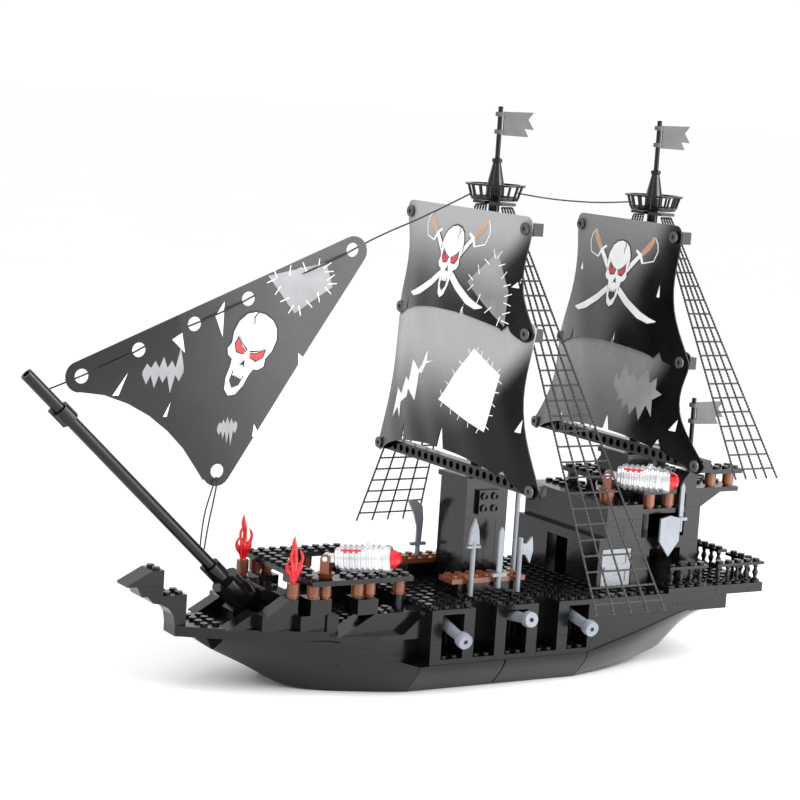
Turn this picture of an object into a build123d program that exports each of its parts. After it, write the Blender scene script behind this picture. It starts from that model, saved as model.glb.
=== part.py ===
from build123d import *
import math
import os

# Model pirate ship built from studded plastic bricks. Millimetres, +X to the bow,
# +Y to port, +Z up. Places are first given in studs, counted from the bow face of
# the first gun port, on the centre line, at the flat bottom of the hull.

os.makedirs("parts", exist_ok=True)

# the brick module
STUD = 8.0
STUD_RADIUS = 2.4
STUD_HEIGHT = 1.7
PLATE = 0.4
BRICK = 1.2
SEAM = 0.03

# hull and decks, in studs
HALF_BEAM = 8.0
HULL_HALF = 8.2
MID_TOP = 2.4
BOW_TOP = 4.4
FOREDECK = 5.2
GUN_DECK = MID_TOP + PLATE
DECK = 6.8
BALCONY = 7.2
PORTS = [-2.0, -8.0, -14.0]
PORT_HALF = 2.0
STERN_X = -33.0
POOP = 15.2
STERN_POLE_X = -30.4
FLAG_REACH = 3.3

# masts and rig, in studs
FORE_X = -8.3
MAIN_X = -24.3
FORE_BASE_TOP = 16.0
MAIN_BASE_TOP = 17.5
MAST_RADIUS = 0.45
POLE_RADIUS = 0.2
NEST_FLOOR = {"fore": 38.4, "main": 38.0}
RIG_AHEAD = 1.65
YARD_WIDTH = 0.9
FORE_YARDS = [(16.7, 11.5), (28.6, 9.5), (36.7, 8.5)]
MAIN_YARDS = [(18.2, 11.5), (26.2, 8.5), (36.2, 6.5)]
SAIL_THICK = 0.12
SAIL_BULGE = 1.3
COURSE_AHEAD = 0.16
TOPSAIL_AHEAD = 1.0
JIB_THICK = 0.06
PIN_RADIUS = 0.3

# bowsprit line, in studs on the centre line
SPRIT_FOOT = (13.1, 7.3)
SPRIT_TIP = (31.2, 24.6)
SPRIT_RADIUS = 0.48

# guns
CANNON_PIVOT = (5.4, 5.6)
CANNON_REACH = 4.65
CANNON_RADIUS = 0.48
TRUNNION_RADIUS = 0.2
CANNON_REST = [-12.0, 5.5, -9.5]
RUNNING_GAP = 0.006
GUN_RADIUS = 1.0
GUN_LENGTH = 4.4
GUN_TAIL = 0.75
GUN_TURN = 42.0
FORE_GUN_TILT = 5.0

# cords, in millimetres
CORD_DIAMETER = 1.0

sprit_angle = math.atan2(SPRIT_TIP[1] - SPRIT_FOOT[1], SPRIT_TIP[0] - SPRIT_FOOT[0])
ORIGIN_X = (SPRIT_TIP[0] + SPRIT_RADIUS * math.sin(sprit_angle) + STERN_POLE_X - FLAG_REACH) / 2


def block(x0, x1, y0, y1, z0, z1):
    size = ((x1 - x0) * STUD, (y1 - y0) * STUD, (z1 - z0) * STUD)
    centre = ((x0 + x1) / 2 * STUD, (y0 + y1) / 2 * STUD, (z0 + z1) / 2 * STUD)
    return Pos(*centre) * Box(*size)


def tube(x, y, z0, z1, r0, r1=None):
    height = (z1 - z0) * STUD
    low = (Align.CENTER, Align.CENTER, Align.MIN)
    if r1 is None or r1 == r0:
        body = Cylinder(r0 * STUD, height, align=low)
    else:
        body = Cone(r0 * STUD, r1 * STUD, height, align=low)
    return Pos(x * STUD, y * STUD, z0 * STUD) * body


def rod(start, end, radius):
    a = Vector(*start) * STUD
    b = Vector(*end) * STUD
    plane = Plane(origin=(a + b) / 2, z_dir=b - a)
    return plane * Cylinder(radius * STUD, (b - a).length)


def slab(points, z0, z1):
    face = Polygon(*[(x * STUD, y * STUD) for x, y in points], align=None)
    return Pos(0, 0, (z0 + z1) / 2 * STUD) * extrude(face, (z1 - z0) / 2 * STUD, both=True)


def profile(points, y0, y1):
    # a side outline in X and Z, drawn out across the ship from y0 to y1
    face = Plane.XZ * Polygon(*[(x * STUD, z * STUD) for x, z in points], align=None)
    return Pos(0, (y0 + y1) / 2 * STUD, 0) * extrude(face, (y1 - y0) / 2 * STUD, both=True)


def lathe(points, x, y, z):
    face = Plane.XZ * Polygon(*[(r * STUD, h * STUD) for r, h in points], align=None)
    return Pos(x * STUD, y * STUD, z * STUD) * revolve(face, Axis.Z)


def stud_at(x, y, z):
    low = (Align.CENTER, Align.CENTER, Align.MIN)
    return Pos(x * STUD, y * STUD, z * STUD) * Cylinder(STUD_RADIUS, STUD_HEIGHT, align=low)


def studs(x0, x1, y0, y1, z, skip=()):
    made = []
    for i in range(round(x1 - x0)):
        for j in range(round(y1 - y0)):
            x = x0 + i + 0.5
            y = y0 + j + 0.5
            if not any(a < x < b and c < y < d for a, b, c, d in skip):
                made.append(stud_at(x, y, z))
    return made


def both_sides(shape):
    return [shape, mirror(shape, about=Plane.XZ)]


def outline_width(outline, x):
    # half width of a deck outline at x
    for (xa, ya), (xb, yb) in zip(outline, outline[1:]):
        if xb <= x <= xa:
            return yb if xa == xb else ya + (yb - ya) * (xa - x) / (xa - xb)
    return 0.0


def seams(face_y, spans):
    # thin joints between bricks on a side wall: (x0, x1, z0, z1) of each line
    cuts = []
    for x0, x1, z0, z1 in spans:
        if x0 == x1:
            cut = block(x0 - SEAM / 2, x0 + SEAM / 2, face_y - SEAM, face_y + SEAM, z0, z1)
        else:
            cut = block(x0, x1, face_y - SEAM, face_y + SEAM, z0 - SEAM / 2, z0 + SEAM / 2)
        cuts.append(cut)
    return cuts


def ribs(sections):
    # ruled skin through half sections: x, top y, top z, chine y, chine z, keel y, keel z
    faces = []
    for x, ty, tz, cy, cz, ky, kz in sections:
        half = [(ky, kz), (cy, cz), (ty, tz)]
        points = half + [(-y, z) for y, z in reversed(half)]
        plane = Plane(origin=(x * STUD, 0, 0), x_dir=(0, 1, 0), z_dir=(1, 0, 0))
        faces.append(plane * Polygon(*[(y * STUD, z * STUD) for y, z in points], align=None))
    return loft(faces, ruled=True)


# ---- hull ----

STEM = [(17.1, 4.4), (16.8, 4.0), (15.5, 3.15), (14.6, 3.15), (13.9, 2.95), (13.2, 2.45),
        (12.75, 1.8), (11.5, 1.1), (9.6, 0.15), (10.6, 2.4), (11.8, 4.4)]


def hull_bow():
    skin = ribs([
        (1.0, 8.2, 2.4, 8.2, 1.85, 6.4, 0.0),
        (4.0, 7.6, 3.3, 7.3, 2.2, 5.4, 0.0),
        (7.5, 6.4, 4.4, 6.0, 2.8, 3.9, 0.02),
        (10.0, 5.35, 4.4, 4.8, 2.9, 2.3, 0.35),
        (12.8, 4.1, 4.4, 3.4, 3.2, 1.2, 1.8),
        (15.4, 2.7, 4.4, 2.2, 3.7, 1.0, 3.1)])
    hold = ribs([
        (1.25, 5.6, 2.5, 5.6, 1.9, 5.0, 0.35),
        (7.5, 4.9, 4.5, 4.6, 2.9, 3.2, 0.5),
        (11.4, 3.2, 4.5, 2.8, 3.4, 1.2, 1.9)])
    step = block(0.9, 7.5, -6.0, 6.0, MID_TOP, BOW_TOP + 1)
    return skin - hold - step - profile(STEM, -1.0, 1.0)


def stem_bricks():
    return profile(STEM, -0.99, 0.99)


def hull_mid_sections():
    outer = [(HULL_HALF, MID_TOP), (HULL_HALF, 1.85), (6.4, 0.0)]
    inner = [(HULL_HALF - 0.25, MID_TOP + 0.1), (HULL_HALF - 0.25, 1.95), (6.3, 0.25)]
    made = []
    for aft in (-7.0, -15.0):
        shell = ribs([(x, *outer[0], *outer[1], *outer[2]) for x in (aft, aft + 8)])
        hold = ribs([(x, *inner[0], *inner[1], *inner[2]) for x in (aft + 0.2, aft + 7.8)])
        made.append(shell - hold)
    return made


STERN_RIBS = [
    (-15.0, 8.2, 2.4, 8.2, 1.85, 6.4, 0.0),
    (-20.0, 8.2, 3.8, 8.0, 2.9, 5.6, 0.5),
    (-24.6, 8.1, 5.2, 7.2, 4.2, 4.6, 1.3),
    (-26.2, 7.9, 5.2, 6.6, 4.5, 4.2, 2.2),
    (-29.2, 7.4, 5.2, 5.6, 4.9, 3.6, 4.2)]


def hull_stern():
    hold = ribs([
        (-15.2, 6.6, 2.5, 6.6, 2.0, 6.0, 0.3),
        (-20.0, 6.6, 4.0, 6.6, 3.0, 5.2, 0.9),
        (-26.0, 6.0, 5.4, 5.8, 4.8, 3.6, 2.6)])
    ledge = block(-16, -14.9, -9, 9, MID_TOP, GUN_DECK)
    return ribs(list(reversed(STERN_RIBS))) - hold - ledge


# ---- bow ----

BOW_OUTLINE = [(18.7, 0.0), (18.7, 1.0), (16.0, 2.6), (13.4, 4.0), (10.0, 5.35),
               (7.0, 6.3), (4.0, 7.0), (0.0, 7.0)]


# what stands on the bow deck, port side: x aft, x fore, y near, y far
BOW_FEET = [(13.1, 15.5, 2.2, 3.6), (10.2, 13.1, 3.0, 4.6), (8.0, 10.2, 3.4, 5.4), (7.0, 8.0, 3.4, 6.0),
            (0.0, 7.0, 4.2, 6.2), (0.0, 1.9, 6.2, 7.0), (9.6, 10.9, 0.0, 3.0), (10.9, 11.7, 1.3, 3.0),
            (11.0, 14.3, 0.0, 1.2), (17.8, 19.8, 0.0, 1.0)]


def bow_deck():
    port = BOW_OUTLINE + [(0.0, 0.0)]
    low = slab(port, BOW_TOP, BOW_TOP + PLATE)
    fore = [p for p in BOW_OUTLINE if p[0] >= 10.0] + [(8.0, 6.0), (8.0, 0.0)]
    half = low + slab(fore, BOW_TOP + PLATE, FOREDECK)
    deck = half + mirror(half, about=Plane.XZ)
    pegs = []
    for i in range(18):
        x = 17.5 - i
        level = FOREDECK if x > 8 else BOW_TOP + PLATE
        for j in range(7):
            y = j + 0.5
            inside = y + 0.35 < outline_width(BOW_OUTLINE, x)
            covered = any(a - 0.32 < x < b + 0.32 and c - 0.32 < y < d + 0.32 for a, b, c, d in BOW_FEET)
            if inside and not covered:
                pegs += [stud_at(x, y, level), stud_at(x, -y, level)]
    return deck + pegs


def figurehead():
    beak = profile([(22.8, 8.4), (22.8, 8.55), (20.8, 9.6), (19.8, 9.6), (19.8, 8.4)], -1, 1)
    plates = profile([(22.0, 8.4), (21.6, 7.6), (19.8, 7.6), (19.8, 8.4)], -1, 1)
    arch = profile([(17.8, 5.2), (18.7, 5.2), (18.85, 6.0), (19.3, 6.6), (20.0, 6.95),
                    (20.6, 7.05), (21.1, 7.6), (17.8, 7.6)], -1, 1)
    lines = seams(1, [(19.8, 22.8, 8.4, 8.4), (19.8, 21.6, 8.0, 8.0), (19.8, 21.3, 7.6, 7.6)])
    lines += seams(-1, [(19.8, 22.8, 8.4, 8.4), (19.8, 21.6, 8.0, 8.0), (19.8, 21.3, 7.6, 7.6)])
    top = studs(19.8, 20.8, -1, 1, 9.6) + studs(17.8, 19.8, -1, 1, 7.6)
    return beak + plates + arch + top - lines


def bow_bulwark():
    # port side, stepped up in slopes towards the gun platform
    low = BOW_TOP + PLATE
    first = FOREDECK + BRICK
    second = first + BRICK
    parts = [
        profile([(15.5, FOREDECK), (13.4, first), (13.1, first), (13.1, FOREDECK)], 2.2, 3.6),
        block(10.2, 13.1, 3.0, 4.6, FOREDECK, first),
        block(8.0, 10.2, 3.4, 5.4, FOREDECK, first),
        profile([(7.0, low), (4.1, first), (0.0, first), (0.0, low)], 4.2, 6.2),
        block(7.0, 8.0, 3.4, 5.6, low, first),
        profile([(12.7, first), (10.9, second), (10.2, second), (10.2, first)], 3.2, 4.8),
        block(7.6, 9.4, 3.4, 5.4, first, second),
        block(3.9, 5.7, 4.2, 6.2, first, second),
        profile([(1.9, low), (0.0, first), (0.0, low)], 6.2, 7.0),
        tube(1.4, 5.0, first, second, 0.5, 0.45)]
    parts[3] += studs(1.9, 3.9, 4.2, 6.2, first)
    return parts


def bow_bulwarks():
    front = block(9.6, 10.9, -3.0, 3.0, FOREDECK, FOREDECK + 2 * BRICK)
    front += studs(9.6, 10.6, -1, 1, FOREDECK + 2 * BRICK)
    front += both_sides(block(10.9, 11.7, 1.3, 3.0, FOREDECK, FOREDECK + BRICK))
    cheek = block(0.0, 7.0, 5.0, 6.0, MID_TOP, BOW_TOP)
    walls = [brick for half in bow_bulwark() for brick in both_sides(half)]
    return walls + both_sides(cheek) + [front]


PLATFORM_LOW = FOREDECK + 3 * BRICK


def fort_frame():
    frame = block(0.7, 9.7, -6, 6, PLATFORM_LOW, PLATFORM_LOW + PLATE)
    frame -= block(2.7, 7.7, -4, 4, PLATFORM_LOW - 1, PLATFORM_LOW + 1)
    well = [(2.7, 7.7, -4, 4), (6.65, 8.9, 3.4, 6.0)]
    frame += studs(0.7, 9.7, -6, 6, PLATFORM_LOW + PLATE, skip=well)
    mid = PLATFORM_LOW + PLATE
    return frame - seams(6, [(7.7, 7.7, PLATFORM_LOW, mid), (3.7, 3.7, PLATFORM_LOW, mid)])


# ---- small round bricks that carry the raised platforms ----

def round_brick(x, y, z):
    return lathe([(0, 0), (0.4, 0), (0.4, 0.12), (0.49, 0.18), (0.49, 1.2), (0, 1.2)], x, y, z)


FORT_POSTS = [(9.0, 4.9), (7.95, 4.9), (5.25, 5.2), (4.2, 5.2), (1.4, 5.0)]
TORCHES = [(10.45, 4.3)]
GALLERY_POSTS = [(-22.1, 5.5), (-24.1, 5.5)]
RAIL_POSTS = [(-28.5, 5.4), (-30.4, 5.4)]


def round_bricks():
    made = []
    low = FOREDECK + 2 * BRICK
    for x, y in FORT_POSTS + TORCHES:
        made += both_sides(round_brick(x, y, low))
    for x, y in GALLERY_POSTS:
        made += both_sides(round_brick(x, y, 13.6))
    for x, y in RAIL_POSTS:
        made += both_sides(round_brick(x, y, POOP))
    return made


def flames():
    made = []
    base = FOREDECK + 3 * BRICK
    for x, y in TORCHES:
        stem = lathe([(0, 0), (0.3, 0), (0.22, 0.7), (0.34, 1.6), (0.12, 3.4), (0, 3.7)], x, y, base)
        left = rod((x, y, base + 0.8), (x + 0.55, y - 0.2, base + 1.7), 0.12)
        right = rod((x, y, base + 1.3), (x - 0.5, y + 0.3, base + 2.4), 0.12)
        made += both_sides(stem + left + right)
    return made


# ---- gun deck ----

def gun_deck_plates():
    floor = block(-16, 0, -HALF_BEAM, HALF_BEAM, MID_TOP, GUN_DECK)
    pegs = []
    for centre in PORTS:
        pegs += both_sides_pegs(centre - 1, centre + 1)
    for aft in (-6, -12):
        pegs += both_sides_pegs(aft, aft + 2)
    return floor + pegs - seams(8, [(-6, -6, MID_TOP, GUN_DECK), (-10, -10, MID_TOP, GUN_DECK)])


def both_sides_pegs(x0, x1):
    return studs(x0, x1, 6, 8, GUN_DECK) + studs(x0, x1, -8, -6, GUN_DECK)


def gun_deck_walls():
    bulkhead = block(-1, 0, -6, 6, GUN_DECK, DECK - PLATE)
    made = [bulkhead]
    for aft in (-6, -12):
        made += both_sides(block(aft, aft + 2, 5, 6, GUN_DECK, DECK - PLATE))
    return made


def gun_port_frame(centre):
    lintel = DECK - PLATE
    fore = block(centre + 1, centre + PORT_HALF, 6, HALF_BEAM, GUN_DECK, lintel)
    aft = block(centre - PORT_HALF, centre - 1, 6, HALF_BEAM, GUN_DECK, lintel)
    top = block(centre - PORT_HALF, centre + PORT_HALF, 6, HALF_BEAM, lintel, DECK)
    top += studs(centre - 2, centre + 2, 6, 8, DECK)
    lines = []
    for course in (1, 2):
        z = GUN_DECK + course * BRICK
        lines += [(centre + 1, centre + 2, z, z), (centre - 2, centre - 1, z, z)]
    cuts = seams(HALF_BEAM, lines)
    return [fore - cuts, aft - cuts, top]


def gun_port_frames():
    made = []
    for centre in PORTS:
        for brick in gun_port_frame(centre):
            made += both_sides(brick)
    return made


def gun_carriage(centre):
    y, z = CANNON_PIVOT
    base = block(centre - 0.95, centre + 0.95, y - 1.0, y + 0.58, GUN_DECK, GUN_DECK + PLATE)
    hole = rod((centre - 1, y, z), (centre + 1, y, z), TRUNNION_RADIUS + RUNNING_GAP)
    made = base
    for side in (-1, 1):
        near = min(centre + side * 0.6, centre + side * 0.9)
        far = max(centre + side * 0.6, centre + side * 0.9)
        cheek = block(near, far, y - 0.5, y + 0.5, GUN_DECK + PLATE, z)
        cheek += rod((near, y, z), (far, y, z), 0.5)
        made += cheek
    return made - hole


def gun_carriages():
    made = []
    for centre in PORTS:
        made += both_sides(gun_carriage(centre))
    return made


def cannon(centre, rest, side):
    reach = CANNON_REACH
    r = CANNON_RADIUS
    outline = [(0.19, 0.0), (0.19, 2.2), (0.0, 2.2), (0.0, 6.1), (0.24, 6.1), (0.3, 5.9), (0.46, 5.85),
               (0.52, 5.6), (0.45, 5.45), (0.5, 5.3), (0.5, 4.7), (0.45, 4.6), (r, 4.5), (r * 0.86, 1.0),
               (0.6, 0.75), (0.66, 0.35), (0.6, 0.0)]
    # r, distance back from the muzzle
    face = Plane.XZ * Polygon(*[(a * STUD, -b * STUD) for a, b in outline], align=None)
    barrel = revolve(face, Axis.Z)
    y, z = CANNON_PIVOT
    barrel = Pos(0, 0, reach * STUD) * barrel
    barrel += rod((-0.88, 0, 0), (0.88, 0, 0), TRUNNION_RADIUS)
    barrel = Rot(-(90 - rest), 0, 0) * barrel
    barrel = Pos(centre * STUD, y * STUD, z * STUD) * barrel
    return barrel if side > 0 else mirror(barrel, about=Plane.XZ)


# ---- decks amidships ----

COLUMN_HALF = (2.0, 2.0)
BENCH = (-10.6, -3.6, 2.9, 4.9)


def main_deck():
    low = DECK - PLATE
    deck = block(-22, 0, -6, 6, low, DECK) + block(-23, -16, -HALF_BEAM, HALF_BEAM, low, DECK)
    covered = [(FORE_X - 2.35, FORE_X + 2.35, -2.5, 2.5), (-10.6, -4.0, 2.55, 5.25),
               (-10.6, -4.0, -5.25, -2.55), (-24, -16.6, -6.1, 6.1)]
    pegs = studs(-22, 0, -6, 6, DECK, skip=covered)
    pegs += studs(-23, -16, 6, 8, DECK) + studs(-23, -16, -8, -6, DECK)
    return deck + pegs - seams(8, [(-20, -20, low, DECK)])


def deck_benches():
    x0, x1, y0, y1 = BENCH
    seat = block(x0 + 0.6, x1 - 0.6, y0, y1, DECK, DECK + BRICK)
    return both_sides(seat)


def bench_planks():
    x0, x1, y0, y1 = BENCH
    top = DECK + BRICK
    plank = block(x0, x1, y0, y1, top, top + PLATE)
    clips = [block(x - 0.3, x + 0.3, y1, y1 + 0.25, top + 0.05, top + 0.35) for x in (-9.6, -7.7, -5.1)]
    pegs = studs(x0, x1, y0, y1, top + PLATE)
    return both_sides(plank + clips + pegs)


def mast_base(x, low, top, plain):
    # plain is how far the smooth panels reach below the ringed band
    dx, dy = COLUMN_HALF
    high = top - PLATE
    body = block(x - dx, x + dx, -dy, dy, low, high)
    cuts = []
    for face in (dy, -dy):
        if plain:
            cuts += seams(face, [(x + i, x + i, low, high - 3.0) for i in (-1, 0, 1)])
            cuts += seams(face, [(x - dx, x + dx, high - 3.0, high - 3.0)])
        else:
            cuts += seams(face, [(x - dx, x + dx, low + i * PLATE, low + i * PLATE) for i in range(1, 5)])
    body -= cuts
    for y in (-1, 1) if plain else ():
        plate = block(x - 1, x + 1, min(y * dy, y * (dy + 0.4)), max(y * dy, y * (dy + 0.4)), high - 2.6, high - 0.6)
        body += plate
        for i in (-0.5, 0.5):
            for k in (-0.5, 0.5):
                ring = rod((x + i, y * (dy + 0.3), high - 1.6 + k), (x + i, y * (dy + 0.6), high - 1.6 + k), 0.32)
                bore = rod((x + i, y * (dy + 0.45), high - 1.6 + k), (x + i, y * (dy + 0.7), high - 1.6 + k), 0.19)
                body = body + ring - bore
    cap = block(x - dx - 0.2, x + dx + 0.2, -dy - 0.2, dy + 0.2, high, high + PLATE)
    return body + cap


# ---- masts ----

def mast_pole(x, low, nest, rows):
    pole = tube(x, 0, low, nest, MAST_RADIUS)
    pole += block(x - 0.5, x + 0.5, -0.5, 0.5, low + 2.6, low + 6.6)
    collars = [tube(x, 0, z - 0.7, z - 0.44, MAST_RADIUS + 0.12) for z, half in rows[1:]]
    arms = []
    for y in (-1, 1):
        arms.append(block(x - 0.7, x + 0.7, min(y * 0.3, y * 2.1), max(y * 0.3, y * 2.1), nest - 0.35, nest - 0.1))
    return pole + collars + arms


def mast_poles():
    fore = mast_pole(FORE_X, FORE_BASE_TOP, NEST_FLOOR["fore"] - 0.01, FORE_YARDS)
    main = mast_pole(MAIN_X, MAIN_BASE_TOP, NEST_FLOOR["main"] - 0.01, MAIN_YARDS)
    return [fore, main]


def crows_nest(x, floor):
    ring = tube(x, 0, floor + 1.15, floor + 1.3, 2.45) - tube(x, 0, floor + 1.1, floor + 1.4, 2.05)
    pan = lathe([(0, 0), (1.9, 0), (2.0, 0.3), (1.8, 0.3), (1.75, 0.15), (0, 0.15)], x, 0, floor)
    bars = []
    for i in range(16):
        a = 2 * math.pi * i / 16
        low = (x + 1.9 * math.cos(a), 1.9 * math.sin(a), floor + 0.2)
        high = (x + 2.2 * math.cos(a), 2.2 * math.sin(a), floor + 1.2)
        bars.append(rod(low, high, 0.1))
    return ring + pan + bars


def crows_nests():
    return [crows_nest(FORE_X, NEST_FLOOR["fore"]), crows_nest(MAIN_X, NEST_FLOOR["main"])]


def topmast(x, floor):
    points = [(0, 0.16), (0.75, 0.16), (0.75, 1.0), (0.33, 3.0), (0.42, 3.05), (0.42, 3.3),
              (POLE_RADIUS, 3.4), (POLE_RADIUS, 7.5), (0, 7.5)]
    return lathe(points, x, 0, floor)


def topmasts():
    stern = tube(STERN_POLE_X, 0, POOP, POOP + 0.4, 0.45) + tube(STERN_POLE_X, 0, POOP, 21.9, POLE_RADIUS)
    return [topmast(FORE_X, NEST_FLOOR["fore"]), topmast(MAIN_X, NEST_FLOOR["main"]), stern]


def flag(x, top):
    cloth = profile([(x - 0.35, top - 0.25), (x - 3.2, top - 0.2), (x - 2.7, top - 0.8), (x - FLAG_REACH, top - 1.6),
                     (x - 2.4, top - 1.55), (x - 2.8, top - 2.2), (x - 0.35, top - 2.15)], -0.07, 0.07)
    made = cloth
    for z in (top - 0.65, top - 2.05):
        clip = tube(x, 0, z, z + 0.35, 0.4)
        made += clip
    shaft = tube(x, 0, top - 3, top + 1, POLE_RADIUS + RUNNING_GAP)
    return made - shaft


# ---- rig that turns about each mast ----

def yard(x, z, half):
    length = 2 * half + 1.0
    beam = block(x - YARD_WIDTH / 2, x + YARD_WIDTH / 2, -length / 2, length / 2, z - 0.5, z + 0.5)
    count = round(2 * half) + 1
    for i in range(count):
        y = -half + i
        beam -= rod((x - 1, y, z), (x + 1, y, z), PIN_RADIUS)
    return beam


def yards(mast_x, rows):
    made = []
    for z, half in rows:
        x = mast_x + RIG_AHEAD
        clip = tube(mast_x, 0, z - 0.4, z + 0.4, 0.8)
        arm = block(mast_x, x, -0.4, 0.4, z - 0.3, z + 0.3)
        bore = tube(mast_x, 0, z - 1, z + 1, MAST_RADIUS + RUNNING_GAP)
        made.append(yard(x, z, half) + (clip + arm - bore))
    return made


def sail_curve(mast_x, widest, ahead):
    # radius and centre of the upright drum that a sail is bent round
    radius = (widest * widest + SAIL_BULGE * SAIL_BULGE) / (2 * SAIL_BULGE)
    face = mast_x + RIG_AHEAD + YARD_WIDTH / 2 + ahead
    return radius, face + SAIL_BULGE - radius


def sail(mast_x, low, high, ahead):
    # a bent sheet pinned at its four corners: the middle stands forward
    z0, half0 = low
    z1, half1 = high
    radius, centre = sail_curve(mast_x, half0, ahead)
    sheet = tube(centre, 0, z0 - 1, z1 + 1.2, radius + SAIL_THICK)
    sheet -= tube(centre, 0, z0 - 2, z1 + 2, radius)
    waist = (half0 + half1) / 2 - 0.5
    half = [(half0 * 0.45, z0 + 1.7), (half0 - 0.8, z0 - 0.2), (half0 + 0.7, z0 - 0.7),
            (waist, (z0 + z1) / 2), (half1 + 0.7, z1 + 0.6)]
    points = half + [(-y, z) for y, z in reversed(half)]
    plane = Plane(origin=(mast_x * STUD, 0, 0), x_dir=(0, 1, 0), z_dir=(1, 0, 0))
    face = plane * Polygon(*[(y * STUD, z * STUD) for y, z in points], align=None)
    trimmed = sheet & extrude(face, 8 * STUD, both=True)
    for z, half in (low, high):
        for y in (-half, half):
            trimmed -= rod((mast_x, y, z), (mast_x + 6, y, z), PIN_RADIUS + RUNNING_GAP)
    return trimmed


def sail_pins(mast_x, rows):
    # each pin passes its yard and the sheets over it, with a broad head in front
    made = []
    low, mid, high = rows
    yard_x = mast_x + RIG_AHEAD
    for (z, half), widest, ahead in ((low, low[1], COURSE_AHEAD), (mid, mid[1], TOPSAIL_AHEAD),
                                     (high, mid[1], TOPSAIL_AHEAD)):
        radius, centre = sail_curve(mast_x, widest, ahead)
        front = centre + math.sqrt((radius + SAIL_THICK) ** 2 - (half - 0.45) ** 2) + 0.01
        for y in (-half, half):
            pin = rod((yard_x - 0.42, y, z), (front + 0.1, y, z), PIN_RADIUS - RUNNING_GAP)
            made.append(pin + rod((front, y, z), (front + 0.25, y, z), 0.46))
    return made


# ---- shroud nets ----

def shroud_net(top, foot, strands, rungs):
    # top and foot are (x fore, x aft, y, z) of a flat grid that hangs from the masthead
    a = Vector((top[0] + top[1]) / 2, top[2], top[3]) * STUD
    b = Vector((top[0] + top[1]) / 2, foot[2], foot[3]) * STUD
    down = (b - a).normalized()
    length = (b - a).length
    plane = Plane(origin=a, x_dir=(1, 0, 0), z_dir=Vector(1, 0, 0).cross(down))
    centre = (top[0] + top[1]) / 2

    def across(side, t):
        low = (foot[0] if side == 0 else foot[1]) - centre
        high = (top[0] if side == 0 else top[1]) - centre
        return (high + (low - high) * t) * STUD

    bars = []
    for i in range(strands):
        k = i / (strands - 1)
        head = across(0, 0) + (across(1, 0) - across(0, 0)) * k
        heel = across(0, 1) + (across(1, 1) - across(0, 1)) * k
        w = 0.65
        bars.append(Polygon((head - w, 0), (head + w, 0), (heel + w, length), (heel - w, length), align=None))
    for j in range(rungs + 1):
        t = j / (rungs + 0.7)
        y = length * t
        fore = max(across(0, t), across(1, t)) + 0.5
        aft = min(across(0, t), across(1, t)) - 0.5
        bars.append(Polygon((aft, y - 0.5), (fore, y - 0.5), (fore, y + 0.5), (aft, y + 0.5), align=None))
    grid = Sketch() + bars
    return plane * extrude(grid, 0.6, both=True)


FORE_NET = [(FORE_X + 0.5, FORE_X - 0.5, 1.9, 37.9), (-8.07, -14.5, 18.4, 8.35)]
MAIN_NET = [(MAIN_X + 0.5, MAIN_X - 0.5, 1.9, 37.5), (-24.8, -29.1, 13.17, 17.29)]


def shroud_nets_fore():
    return both_sides(shroud_net(FORE_NET[0], FORE_NET[1], 5, 26))


def shroud_nets_main():
    return both_sides(shroud_net(MAIN_NET[0], MAIN_NET[1], 5, 18))


# ---- bowsprit, jib and cords ----

def along_sprit(t, above=0.0):
    # a point on the bowsprit line at fraction t, and a distance square to it
    x = SPRIT_FOOT[0] + (SPRIT_TIP[0] - SPRIT_FOOT[0]) * t - above * math.sin(sprit_angle)
    z = SPRIT_FOOT[1] + (SPRIT_TIP[1] - SPRIT_FOOT[1]) * t + above * math.cos(sprit_angle)
    return (x, 0, z)


def bowsprit():
    spar = rod(along_sprit(0), along_sprit(1), SPRIT_RADIUS)
    for start, end in ((0.075, 0.13), (0.80, 0.85)):
        spar += rod(along_sprit(start), along_sprit(end), SPRIT_RADIUS + 0.22)
        spar += rod(along_sprit(start, -0.6), along_sprit(end + 0.02, -0.6), 0.18)
    return spar - rod(along_sprit(0.985), along_sprit(1.05), SPRIT_RADIUS - 0.18)


def bowsprit_socket():
    cup = rod(along_sprit(-0.035), along_sprit(0.06), 1.2)
    post = profile([(13.6, FOREDECK), (9.8 + 1.2, FOREDECK), (11.0, 6.6), (12.2, 7.6), (13.8, 6.0)], -0.9, 0.9)
    bore = rod(along_sprit(0), along_sprit(0.2), SPRIT_RADIUS + RUNNING_GAP)
    return cup + post - bore - block(5, 20, -3, 3, 3, FOREDECK)


JIB_LUFF = [(26.87, 24.39), (22.37, 26.33), (17.9, 28.28), (13.46, 30.22), (9.01, 32.12), (4.6, 34.12)]
JIB_CLEW = (15.24, 16.89)
JIB_OUTLINE = [(28.05, 24.1), (27.5, 24.95), (4.9, 34.95), (3.9, 34.95), (3.4, 34.2), (3.5, 33.2),
               (14.3, 16.3), (15.2, 15.75), (16.1, 16.1), (16.9, 17.3), (18.5, 19.3), (20.6, 21.0),
               (23.5, 22.4), (26.8, 23.2), (27.8, 23.5)]


def jib():
    sheet = profile(JIB_OUTLINE, -JIB_THICK / 2, JIB_THICK / 2)
    for x, z in JIB_LUFF + [JIB_CLEW]:
        sheet -= rod((x, -1, z), (x, 1, z), 0.56)
    return sheet


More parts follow.
